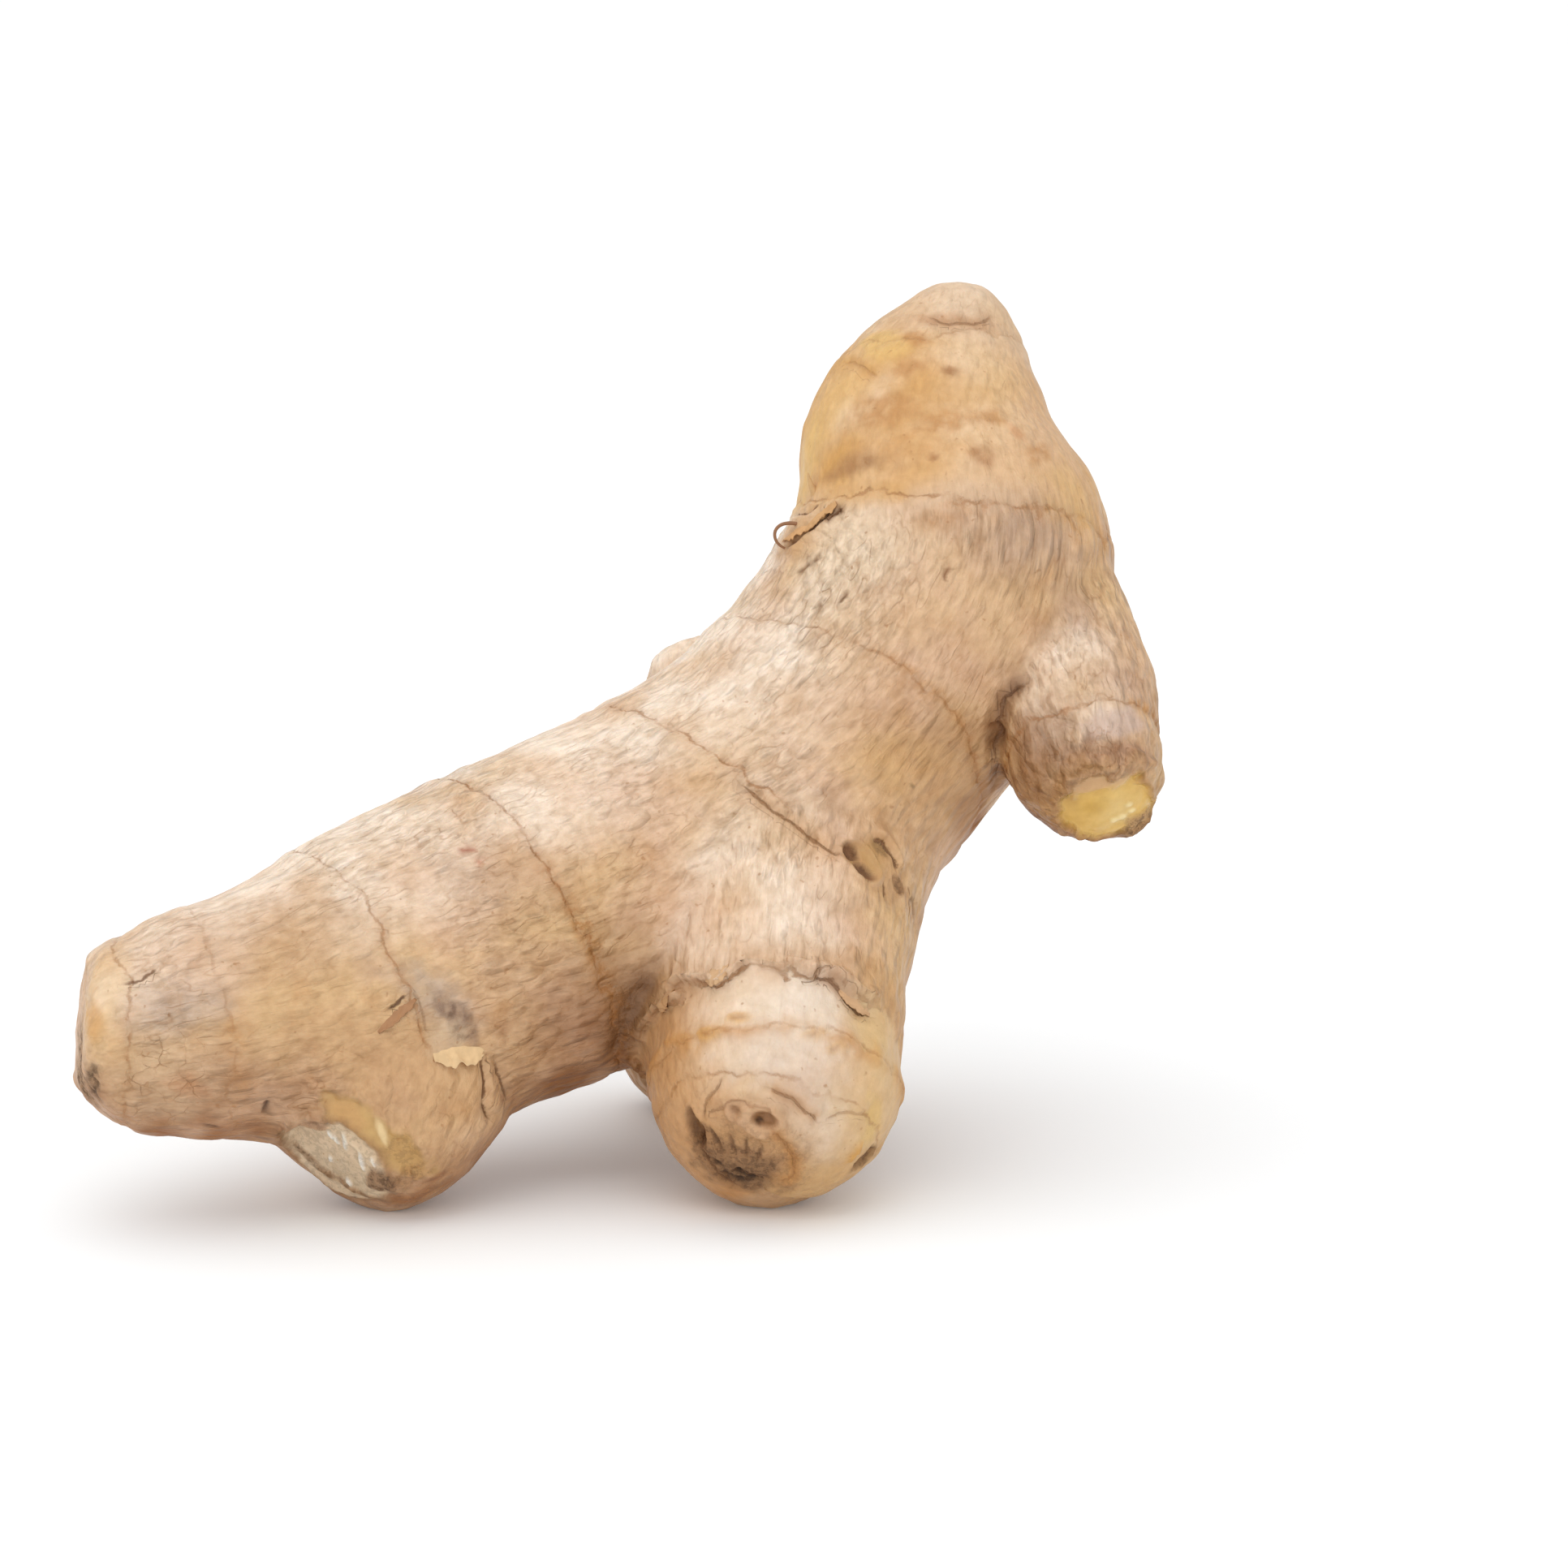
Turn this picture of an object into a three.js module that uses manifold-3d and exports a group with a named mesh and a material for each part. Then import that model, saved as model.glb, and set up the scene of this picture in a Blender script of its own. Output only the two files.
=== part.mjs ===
// A hand of ginger root: one rhizome, grown in one piece, standing on three of its own knobs.
//
// Millimetres, +Z up. The stored origin is on the floor, under the middle of the object's box. The
// long finger runs to -X and towards the viewer at -Y, the cone stands at +X and leans away to +Y.
//
// Each finger is a bent, tapered limb that swells a little at its rings. The limbs melt into each
// other as one field, the field is skinned with one quad per crossed grid edge, and the spots that
// bear on the floor are planed flat.
import * as THREE from "three";
import { mergeVertices } from "three/addons/utils/BufferGeometryUtils.js";
import Module from "manifold-3d";

// ---- driving dimensions

const cell = 2.75; // grid step of the skin
const samplesPerStation = 8; // straight pieces between two stations of a finger
const ringHeight = 0.5; // how far a ring stands proud of the finger
const ringHalfWidth = 2.2; // where the ring's swelling has faded out
const lumpHeight = 0.45; // slow unevenness of the whole surface
const lumpLength = 7.5; // its length, divided by two pi
const pressedDepth = 0.45; // how much of each foot is planed off to make its bearing spot
const floorBlock = 300; // side of the block under the floor
const settlePasses = 3; // how often a skin vertex is moved onto the surface
const probeShare = 0.05; // step that measures the field's slope, as a share of the grid step
const flattestSlope = 0.25; // least squared slope that a vertex trusts when it moves

// Stations are [x, y, z, radius] along the middle of a finger. depth is its thickness along Y as a
// share of its thickness across, blend is how widely it melts into what it grows from, rings are
// distances along the finger from its first station, and cuts are the knife or broken faces at its
// end: a point on the face, and the way the face looks.
const fingers = {
  spine: {
    depth: 0.93,
    blend: 6,
    rings: [3.5, 14, 34, 55, 80, 101, 122, 146],
    cuts: [
      { at: [-63.2, -9, 22.5], faces: [-1, -0.2, 0.1] },
      { at: [-59, -9, 13], faces: [-0.62, -0.3, -0.72] },
    ],
    stations: [
      [-61.5, -9, 22, 9.2],
      [-57, -8, 22.8, 11.4],
      [-47, -5, 24.3, 13.9],
      [-31, 5, 27.3, 17],
      [-12, 16, 31.3, 20.9],
      [8, 26, 40.8, 19.4],
      [23.8, 31, 50.2, 20.2],
      [34.8, 36, 62.6, 20.9],
      [40.6, 39, 74, 20.7],
      [39.4, 42, 84, 16.6],
      [40, 45, 93, 12.8],
      [42, 48, 100.5, 8.4],
      [43, 50, 105, 4.6],
    ],
  },
  coneShoulder: {
    depth: 1,
    blend: 3,
    rings: [],
    cuts: [],
    stations: [
      [32, 41, 86, 9.5],
      [30.4, 43, 95.3, 3.4],
    ],
  },
  frontKnob: {
    depth: 1,
    blend: 6,
    rings: [12, 19, 28],
    cuts: [],
    stations: [
      [22.5, 28, 42, 16.5],
      [19.5, 14, 29, 16.2],
      [18.4, 1, 15.6, 15.7],
    ],
  },
  cutKnob: {
    depth: 1,
    blend: 9,
    rings: [],
    cuts: [{ at: [-33, -6.8, 6.7], faces: [-0.56, -0.63, -0.54] }],
    stations: [
      [-26, 8, 25, 14],
      [-27.6, -0.5, 12.8, 12.8],
    ],
  },
  sideKnob: {
    depth: 1,
    blend: 3.5,
    rings: [13],
    cuts: [{ at: [60.5, 14, 44.8], faces: [0.38, -0.68, -0.64] }],
    stations: [
      [53, 34, 68, 9.6],
      [55.5, 28, 59, 10.6],
      [57.4, 20, 51.4, 9.9],
    ],
  },
  backKnob: {
    depth: 1,
    blend: 5,
    rings: [12, 22],
    cuts: [],
    stations: [
      [9, 37, 40, 13],
      [8, 43, 31, 13.2],
      [8.2, 46, 21, 13],
      [9.3, 47, 12.4, 12.6],
    ],
  },
  backBud: {
    depth: 1,
    blend: 3,
    rings: [],
    cuts: [],
    stations: [
      [11, 36, 46, 9.4],
      [9.3, 46.5, 55.2, 8],
    ],
  },
};

// ---- the field: below zero inside the ginger, and about the distance to its skin outside

const toVector = ([x, y, z]) => new THREE.Vector3(x, y, z);

function toPlane({ at, faces }) {
  return new THREE.Plane().setFromNormalAndCoplanarPoint(toVector(faces).normalize(), toVector(at));
}

// A finger's middle line and girth, sampled as [middle, distance along, radius].
function sampleFinger({ stations, cuts, ...finger }) {
  const axis = new THREE.CatmullRomCurve3(stations.map(toVector));
  const girth = new THREE.SplineCurve(stations.map(([, , , radius], i) => new THREE.Vector2(i, radius)));
  const count = (stations.length - 1) * samplesPerStation;
  const points = [];
  let along = 0;
  for (let i = 0; i <= count; i++) {
    const middle = axis.getPoint(i / count);
    if (i) along += middle.distanceTo(points[i - 1].middle);
    points.push({ middle, along, radius: girth.getPoint(i / count).y });
  }
  return { ...finger, points, faces: cuts.map(toPlane) };
}

// The swelling at a finger's rings, which falls off as a smooth bump on both sides.
function ringSwelling(rings, along) {
  let swelling = 0;
  for (const ring of rings) {
    const share = Math.min(1, Math.abs(along - ring) / ringHalfWidth);
    swelling += ringHeight * (1 - share * share) ** 2;
  }
  return swelling;
}

const toPoint = new THREE.Vector3();
const stretch = new THREE.Vector3();

function fingerDistance(finger, p) {
  let nearest = Infinity;
  for (let i = 1; i < finger.points.length; i++) {
    const a = finger.points[i - 1];
    const b = finger.points[i];
    stretch.subVectors(b.middle, a.middle);
    toPoint.subVectors(p, a.middle);
    const share = THREE.MathUtils.clamp(toPoint.dot(stretch) / stretch.lengthSq(), 0, 1);
    toPoint.addScaledVector(stretch, -share);
    toPoint.y /= finger.depth;
    const along = THREE.MathUtils.lerp(a.along, b.along, share);
    const radius = THREE.MathUtils.lerp(a.radius, b.radius, share) + ringSwelling(finger.rings, along);
    nearest = Math.min(nearest, toPoint.length() - radius);
  }
  for (const face of finger.faces) {
    nearest = Math.max(nearest, face.distanceToPoint(p));
  }
  return nearest;
}

// A minimum of two distances that rounds the corner between them over the given width.
function meltTogether(a, b, width) {
  const overlap = Math.max(width - Math.abs(a - b), 0) / width;
  return Math.min(a, b) - (overlap * overlap * width) / 4;
}

// Slow waves with slanted fronts, so that no lump lines up with an axis.
function lumps({ x, y, z }) {
  const wave = (u, v, w) =>
    Math.sin(u / lumpLength) * Math.cos(v / lumpLength + 1) * Math.sin(w / lumpLength + 2);
  return lumpHeight * (wave(x + 0.4 * z, y, z) + wave(y - z, x, 0.6 * x + z));
}

const limbs = Object.values(fingers).map(sampleFinger);

function field(p) {
  let distance = Infinity;
  for (const limb of limbs) {
    const own = fingerDistance(limb, p);
    distance = distance === Infinity ? own : meltTogether(distance, own, limb.blend);
  }
  return distance - lumps(p);
}

// ---- the grid that the field is sampled on

function boxAroundLimbs() {
  const box = new THREE.Box3();
  for (const { middle, radius } of limbs.flatMap((limb) => limb.points)) {
    box.expandByPoint(middle.clone().addScalar(radius));
    box.expandByPoint(middle.clone().addScalar(-radius));
  }
  return box.expandByScalar(3 * cell);
}

function sampleGrid() {
  const box = boxAroundLimbs();
  const counts = box.getSize(new THREE.Vector3()).divideScalar(cell).toArray().map(Math.ceil);
  const corner = (at) => toVector(at).multiplyScalar(cell).add(box.min);
  const index = ([i, j, k]) => i + counts[0] * (j + counts[1] * k);
  const values = new Float64Array(counts[0] * counts[1] * counts[2]);
  forEachCell([0, 0, 0], counts, (at) => {
    values[index(at)] = field(corner(at));
  });
  return { counts, corner, index, values };
}

function forEachCell(from, to, visit) {
  for (let k = from[2]; k < to[2]; k++) {
    for (let j = from[1]; j < to[1]; j++) {
      for (let i = from[0]; i < to[0]; i++) visit([i, j, k]);
    }
  }
}

const sum = (a, b) => a.map((v, n) => v + b[n]);

// ---- the skin: one vertex in each cell that the surface crosses

const cellCorners = [0, 1].flatMap((i) => [0, 1].flatMap((j) => [0, 1].map((k) => [i, j, k])));
const axisSteps = [
  [1, 0, 0],
  [0, 1, 0],
  [0, 0, 1],
];
const cellEdges = axisSteps.flatMap((step, n) =>
  cellCorners.filter((corner) => corner[n] === 0).map((corner) => [corner, sum(corner, step)]),
);

// A vertex is moved onto the surface along the field's slope, and kept near its own cell.
function settle(vertex) {
  const start = vertex.clone();
  const slope = new THREE.Vector3();
  const probe = new THREE.Vector3();
  const step = cell * probeShare;
  for (let pass = 0; pass < settlePasses; pass++) {
    const here = field(vertex);
    for (const axis of ["x", "y", "z"]) {
      probe.copy(vertex);
      probe[axis] += step;
      slope[axis] = (field(probe) - here) / step;
    }
    vertex.addScaledVector(slope, -here / Math.max(slope.lengthSq(), flattestSlope));
  }
  return vertex.sub(start).clampLength(0, cell / 2).add(start);
}

// The middle of the points where the surface crosses a cell's edges, or null if it crosses none.
function crossingMiddle({ corner, index, values }, at) {
  const middle = new THREE.Vector3();
  let crossings = 0;
  for (const [a, b] of cellEdges) {
    const valueA = values[index(sum(at, a))];
    const valueB = values[index(sum(at, b))];
    if (valueA < 0 === valueB < 0) continue;
    middle.add(corner(sum(at, a)).lerp(corner(sum(at, b)), valueA / (valueA - valueB)));
    crossings++;
  }
  return crossings ? middle.divideScalar(crossings) : null;
}

// The four cells around a grid edge, in turn, for an edge along each axis.
const cellsAround = [
  [[0, 0, 0], [0, -1, 0], [0, -1, -1], [0, 0, -1]],
  [[0, 0, 0], [0, 0, -1], [-1, 0, -1], [-1, 0, 0]],
  [[0, 0, 0], [-1, 0, 0], [-1, -1, 0], [0, -1, 0]],
];

function skin() {
  const grid = sampleGrid();
  const lastCells = grid.counts.map((count) => count - 1);
  const vertexOf = new Map();
  const positions = [];
  forEachCell([0, 0, 0], lastCells, (at) => {
    const middle = crossingMiddle(grid, at);
    if (!middle) return;
    vertexOf.set(grid.index(at), positions.length / 3);
    positions.push(...settle(middle).toArray());
  });

  const triangles = [];
  forEachCell([1, 1, 1], lastCells, (at) => {
    const inside = grid.values[grid.index(at)] < 0;
    for (const [n, step] of axisSteps.entries()) {
      if (inside === grid.values[grid.index(sum(at, step))] < 0) continue;
      const quad = cellsAround[n].map((way) => vertexOf.get(grid.index(sum(at, way))));
      if (!inside) quad.reverse();
      triangles.push(quad[0], quad[1], quad[2], quad[0], quad[2], quad[3]);
    }
  });
  const geometry = new THREE.BufferGeometry();
  geometry.setAttribute("position", new THREE.Float32BufferAttribute(positions, 3));
  geometry.setIndex(triangles);
  return geometry;
}

// ---- cutting

const wasm = await Module();
wasm.setup();

function toSolid(geometry) {
  const plain = geometry.clone();
  plain.deleteAttribute("normal");
  plain.deleteAttribute("uv");
  const merged = mergeVertices(plain);
  return new wasm.Manifold(
    new wasm.Mesh({
      numProp: 3,
      vertProperties: new Float32Array(merged.attributes.position.array),
      triVerts: new Uint32Array(merged.index.array),
    }),
  );
}

function toGeometry(solid) {
  const { vertProperties, triVerts } = solid.getMesh();
  const geometry = new THREE.BufferGeometry();
  geometry.setAttribute("position", new THREE.Float32BufferAttribute(vertProperties, 3));
  geometry.setIndex(Array.from(triVerts));
  geometry.computeVertexNormals();
  return geometry;
}

// The floor's block reaches up into the feet by the depth that they are pressed.
function gingerGeometry() {
  const floor = new THREE.BoxGeometry(floorBlock, floorBlock, floorBlock);
  floor.translate(0, 0, pressedDepth - floorBlock / 2);
  return toGeometry(toSolid(skin()).subtract(toSolid(floor)));
}

// ---- the object

const geometry = gingerGeometry();
geometry.computeBoundingBox();
const { min, max } = geometry.boundingBox;
geometry.translate(-(min.x + max.x) / 2, -(min.y + max.y) / 2, -min.z);

const ginger = new THREE.Mesh(
  geometry,
  new THREE.MeshStandardMaterial({ color: 0xdcbc94, roughness: 0.62, metalness: 0 }),
);
ginger.name = "ginger_rhizome";

const group = new THREE.Group();
group.add(ginger);
export default group;
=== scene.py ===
import math

import bmesh
import bpy
import numpy as np
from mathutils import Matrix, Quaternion, Vector, noise
from mathutils.bvhtree import BVHTree


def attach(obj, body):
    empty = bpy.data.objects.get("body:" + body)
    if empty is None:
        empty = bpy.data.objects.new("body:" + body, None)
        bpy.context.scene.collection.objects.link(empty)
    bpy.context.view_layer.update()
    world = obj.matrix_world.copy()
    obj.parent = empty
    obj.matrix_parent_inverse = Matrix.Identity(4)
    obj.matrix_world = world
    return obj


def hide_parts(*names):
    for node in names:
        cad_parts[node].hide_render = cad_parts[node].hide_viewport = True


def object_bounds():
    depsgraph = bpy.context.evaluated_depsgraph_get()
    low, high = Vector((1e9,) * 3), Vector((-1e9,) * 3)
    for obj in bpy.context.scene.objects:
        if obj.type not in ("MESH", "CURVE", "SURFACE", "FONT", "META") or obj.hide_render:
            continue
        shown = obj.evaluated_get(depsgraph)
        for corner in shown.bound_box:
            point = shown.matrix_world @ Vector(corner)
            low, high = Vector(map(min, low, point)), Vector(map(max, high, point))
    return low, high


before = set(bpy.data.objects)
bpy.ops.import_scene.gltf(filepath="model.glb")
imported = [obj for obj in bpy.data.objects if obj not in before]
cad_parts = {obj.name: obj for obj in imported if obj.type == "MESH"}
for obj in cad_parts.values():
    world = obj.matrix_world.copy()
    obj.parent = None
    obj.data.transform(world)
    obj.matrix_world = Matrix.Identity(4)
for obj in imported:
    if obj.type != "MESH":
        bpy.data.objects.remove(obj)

cadLow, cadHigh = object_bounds()
cadSize = cadHigh - cadLow
mm = 0.001


def spot(x, y, z):
    return Vector(cadLow[i] + cadSize[i] * share / 100 for i, share in enumerate((x, y, z)))


def easeStep(low, high, value):
    share = np.clip((value - low) / (high - low), 0, 1)
    return share * share * (3 - 2 * share)


def bell(value, width):
    return np.exp(-((value / width) ** 2))


def linear(red, green, blue):
    # a colour picked on a screen, as the light it stands for
    return tuple((c / 255) ** 2.2 for c in (red, green, blue))


print("camera")
view = {"lens": 100, "elevation": 10, "aim": (64.37, 24.07, 47.38), "distanceInWidths": 3.9148}
cameraData = bpy.data.cameras.new("camera")
cameraData.lens = view["lens"]
camera = bpy.data.objects.new("camera", cameraData)
tilt = math.radians(view["elevation"])
camera.location = spot(*view["aim"]) + Vector((0, -math.cos(tilt), math.sin(tilt))) * (
    view["distanceInWidths"] * cadSize.x
)
camera.rotation_euler = (math.pi / 2 - tilt, 0, 0)
cameraData.clip_start = 0.01
cameraData.clip_end = 20
bpy.context.scene.collection.objects.link(camera)
bpy.context.scene.camera = camera


# A line's points are x, y, z and the finger's radius there. A ring sits at its distance along the
# line, and "lean" farther on the side that faces "towards".
fingers = {
    "spine": {
        "line": [
            (3, 12.7, 19.8, 9.2), (6.4, 13.9, 20.6, 11.4), (13.9, 17.7, 21.9, 13.9), (26, 30.4, 24.7, 17),
            (40.3, 44.4, 28.4, 20.9), (55.4, 57.1, 37.1, 19.4), (67.3, 63.4, 45.8, 20.2),
            (75.6, 69.8, 57.2, 20.9), (80, 73.6, 67.7, 20.7), (79.1, 77.4, 76.9, 16.6),
            (79.5, 81.2, 85.1, 12.8), (81, 85, 92, 8.4), (81.8, 87.6, 96.2, 4.6),
        ],
        "rings": [
            {"along": 3, "lean": 2, "towards": (0, 0, 1), "strength": 0.7},
            {"along": 13, "lean": 0.8, "towards": (0, 0, 1), "strength": 0.4},
            {"along": 32, "lean": 2, "towards": (0, -0.3, -0.95), "strength": 0.7},
            {"along": 55, "lean": 3.3, "towards": (0, -0.5, -0.87), "strength": 1.0},
            {"along": 86.3, "lean": 9.7, "towards": (0, -0.5, -0.87), "strength": 0.9},
            {"along": 102.7, "lean": 9.5, "towards": (0.32, -0.91, 0.19), "strength": 0.6},
            {"along": 135.4, "lean": 2.6, "towards": (-1, 0, 0), "strength": 0.8},
            {"along": 157, "lean": 4, "towards": (1, 0, 0), "strength": 0.5},
        ],
    },
    "frontKnob": {
        "line": [(66.3, 59.6, 38.2, 16.5), (64.1, 41.9, 26.3, 16.2), (63.2, 25.3, 13.9, 15.7)],
        "rings": [
            {"along": 39.8, "lean": 0.8, "towards": (0, 0, -1), "strength": 0.5},
            {"along": 45.5, "lean": 1.2, "towards": (1, 0, 0), "strength": 0.6},
        ],
    },
    "cutKnob": {"line": [(29.7, 34.2, 22.6, 14), (28.5, 23.4, 11.4, 12.8)], "rings": []},
    "sideKnob": {
        "line": [(89.3, 67.2, 62.1, 9.6), (91.2, 59.6, 53.9, 10.6), (92.6, 49.5, 46.9, 9.9)],
        "rings": [{"along": 20.5, "lean": 1, "towards": (-1, 0, 0), "strength": 0.8}],
    },
    "backKnob": {
        "line": [(56.1, 71.1, 36.4, 13), (55.4, 78.7, 28.1, 13.2), (55.5, 82.5, 18.9, 13),
                (56.4, 83.7, 11, 12.6)],
        "rings": [
            {"along": 15, "lean": 1.5, "towards": (1, 0, 0), "strength": 0.8},
            {"along": 25, "lean": 1, "towards": (-1, 0, 0), "strength": 0.6},
        ],
    },
    "backBud": {
        "line": [(57.6, 69.8, 41.9, 9.4), (56.4, 83.1, 50.4, 8)],
        "rings": [{"along": 14, "lean": 0.5, "towards": (1, 0, 0), "strength": 0.7}],
    },
}
stepsPerStretch = 8
pastEnd = 30  # how far a finger's line is drawn on past its ends
stationStep = 2
softReach = 6  # nearby stretches of a line share a point, so that bends don't fold the grain


def smoothLine(points):
    # a curve through the points, with the end stretches mirrored
    ends = [2 * points[0] - points[1], *points, 2 * points[-1] - points[-2]]
    curve = []
    for before, start, end, after in zip(ends, ends[1:], ends[2:], ends[3:]):
        for share in np.arange(stepsPerStretch) / stepsPerStretch:
            curve.append(
                0.5 * (
                    2 * start + (end - before) * share + (2 * before - 5 * start + 4 * end - after) * share**2
                    + (3 * start - before - 3 * end + after) * share**3
                )
            )
    curve.append(points[-1])
    return np.array(curve)


def followFinger(places, line):
    # For each place: distance along the line, the way out from it, and how far it is outside the skin.
    curve = smoothLine([np.array([*(spot(x, y, z) / mm), r]) for x, y, z, r in line])
    passed = np.concatenate([[0], np.cumsum(np.linalg.norm(np.diff(curve[:, :3], axis=0), axis=1))])
    stations = np.arange(-pastEnd, passed[-1] + pastEnd, stationStep)
    inside = np.clip(stations, 0, passed[-1])
    middle = np.stack([np.interp(inside, passed, curve[:, i]) for i in range(3)], 1)
    startWay, endWay = curve[1, :3] - curve[0, :3], curve[-1, :3] - curve[-2, :3]
    middle += np.outer(np.minimum(stations, 0), startWay / np.linalg.norm(startWay))
    middle += np.outer(np.maximum(stations - passed[-1], 0), endWay / np.linalg.norm(endWay))
    radius = np.where(inside == stations, np.interp(inside, passed, curve[:, 3]), -99)
    ways = np.gradient(middle, axis=0)
    ways /= np.linalg.norm(ways, axis=1)[:, None]
    sides = [np.array([0, -1, 0.001])]
    for way in ways:
        turned = sides[-1] - way * (sides[-1] @ way)
        sides.append(turned / np.linalg.norm(turned))
    sides = np.array(sides[1:])
    others = np.cross(ways, sides)
    answers = []
    for some in np.array_split(places, 8):
        gaps = np.linalg.norm(some[:, None] - middle, axis=2)
        outside = (gaps - radius).min(1)
        weights = np.exp(-(gaps**2 - gaps.min(1)[:, None] ** 2) / softReach**2)
        weights /= weights.sum(1)[:, None]
        out = some - weights @ middle
        local = [(out * (weights @ axis)).sum(1) for axis in (sides, others)]
        answers.append(np.column_stack([weights @ stations, *local, out, outside]))
    along, u, v, outX, outY, outZ, outside = np.concatenate(answers).T
    out = np.stack([outX, outY, outZ], 1)
    return {
        "along": along, "grain": np.stack([along, u, v], 1), "outside": outside,
        "out": out / np.linalg.norm(out, axis=1)[:, None],
    }


print("fine skin")
rhizome = {
    "bodyRefine": 1,  # subdivisions of the whole skin before the scars get finer cells
    "finishRefine": 1,  # and after
    "fineSpots": [  # place and reach of the skin that gets the finer cells
        (61.5, 7, 10, 11.8), (25.5, 11, 8, 10.2), (94, 41, 43, 8.2), (73, 35, 36, 6.2),
        (65.8, 61, 72, 4.5), (35.5, 12, 21.5, 4),
    ],
}


def copyOfNode(nodeName, pieceName):
    piece = bpy.data.objects.new(pieceName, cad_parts[nodeName].data.copy())
    bpy.context.scene.collection.objects.link(piece)
    piece.data.materials.clear()
    return piece


def refine(piece, levels):
    modifier = piece.modifiers.new("refine", "SUBSURF")
    modifier.levels = modifier.render_levels = levels
    bpy.context.view_layer.update()
    fine = bpy.data.meshes.new_from_object(piece.evaluated_get(bpy.context.evaluated_depsgraph_get()))
    piece.modifiers.remove(modifier)
    piece.data = fine


def mergeIntoQuads(piece):
    bm = bmesh.new()
    bm.from_mesh(piece.data)
    bmesh.ops.remove_doubles(bm, verts=bm.verts, dist=0.001 * mm)
    bmesh.ops.join_triangles(
        bm, faces=bm.faces, angle_face_threshold=math.radians(40), angle_shape_threshold=math.radians(50)
    )
    bm.to_mesh(piece.data)
    bm.free()


def refineAt(piece, fineSpots):
    bm = bmesh.new()
    bm.from_mesh(piece.data)
    centres = [(spot(x, y, z), reach * mm) for x, y, z, reach in fineSpots]
    near = [f for f in bm.faces if any((f.calc_center_median() - c).length < r for c, r in centres)]
    edges = list({edge for face in near for edge in face.edges})
    bmesh.ops.subdivide_edges(bm, edges=edges, cuts=1, use_grid_fill=True)
    bm.to_mesh(piece.data)
    bm.free()


skin = copyOfNode("ginger_rhizome", "gingerSkin")
mergeIntoQuads(skin)
refine(skin, rhizome["bodyRefine"])
refineAt(skin, rhizome["fineSpots"])
refine(skin, rhizome["finishRefine"])


def readMesh(mesh):
    count = len(mesh.vertices)
    places, normals = np.zeros(count * 3), np.zeros(count * 3)
    mesh.vertices.foreach_get("co", places)
    mesh.vertices.foreach_get("normal", normals)
    return places.reshape(-1, 3) / mm, normals.reshape(-1, 3)


places, normals = readMesh(skin.data)
print("  skin points", len(places), "triangles", sum(len(p.vertices) - 2 for p in skin.data.polygons))


print("fingers")
followed = {name: followFinger(places, finger["line"]) for name, finger in fingers.items()}
branchNames = [name for name in fingers if name != "spine"]
outsides = np.array([followed[name]["outside"] for name in branchNames])
branchIndex = outsides.argmin(0)
branchBlend = 1.5  # how far a branch's own grain fades into the spine's
onBranch = easeStep(-branchBlend, branchBlend, followed["spine"]["outside"] - outsides.min(0))


def ofBranch(key):
    stacked = np.array([followed[name][key] for name in branchNames])
    return stacked[branchIndex, np.arange(len(places))]


spineGrain, branchGrain = followed["spine"]["grain"], ofBranch("grain")


def noiseAt(where, size, seed, octaves=1):
    scaled = where / np.array(size, float) + seed
    return np.array([noise.fractal(p, 1, 2, octaves) for p in scaled])


def pebblesAt(where, size, seed):
    # puffy cells with valleys between them, from about -1 in the valleys to 1 on the puffs
    scaled = where / np.array(size, float) + seed
    cells = np.array([noise.noise(p, noise_basis="VORONOI_F1") for p in scaled])
    return -(cells - cells.mean()) / (1.6 * cells.std())


def grainNoise(pattern, size, seed):
    # a pattern drawn out along whichever finger a point is on
    bend = 0.35 * np.array(size) * np.stack([noiseAt(places, [6] * 3, seed + k) for k in (1, 2, 3)], 1)
    onSpine = pattern(spineGrain + bend, size, seed)
    return onSpine + (pattern(branchGrain + bend, size, seed + 31) - onSpine) * onBranch


def ringField(name, wander):
    # A signed distance that passes through zero at each ring, and the strength of the nearest ring.
    along = followed[name]["along"] + wander
    out = followed[name]["out"]
    rings = fingers[name]["rings"]
    if not rings:
        return np.full(len(places), 20.0), np.zeros(len(places)), np.full(len(places), -20.0)
    past = np.array([along - r["along"] - r["lean"] * (out @ np.array(r["towards"], float)) for r in rings])
    nearest = np.abs(past).argmin(0)
    rows = np.arange(len(places))
    passed = (past > 0).sum(0)
    signed = np.abs(past).min(0) * np.where(passed % 2 == 1, 1, -1)
    strength = np.array([r["strength"] for r in rings])[nearest]
    return np.clip(signed, -20, 20), strength, past[nearest, rows]


ringWander = {"slow": 0.9, "slowSize": 7, "quick": 0.75, "quickSize": 2.6}
wander = ringWander["slow"] * noiseAt(places, [ringWander["slowSize"]] * 3, 3.1, 2)
wander += ringWander["quick"] * noiseAt(places, [ringWander["quickSize"]] * 3, 8.7, 2)
spineRing, spineStrength, pastSpineRing = ringField("spine", wander)
branchFields = [ringField(name, wander) for name in branchNames]
rows = np.arange(len(places))
branchRing, branchStrength, pastBranchRing = (
    np.array([field[k] for field in branchFields])[branchIndex, rows] for k in range(3)
)
spineStrength = spineStrength * (1 - onBranch)
branchStrength = branchStrength * onBranch

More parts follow.
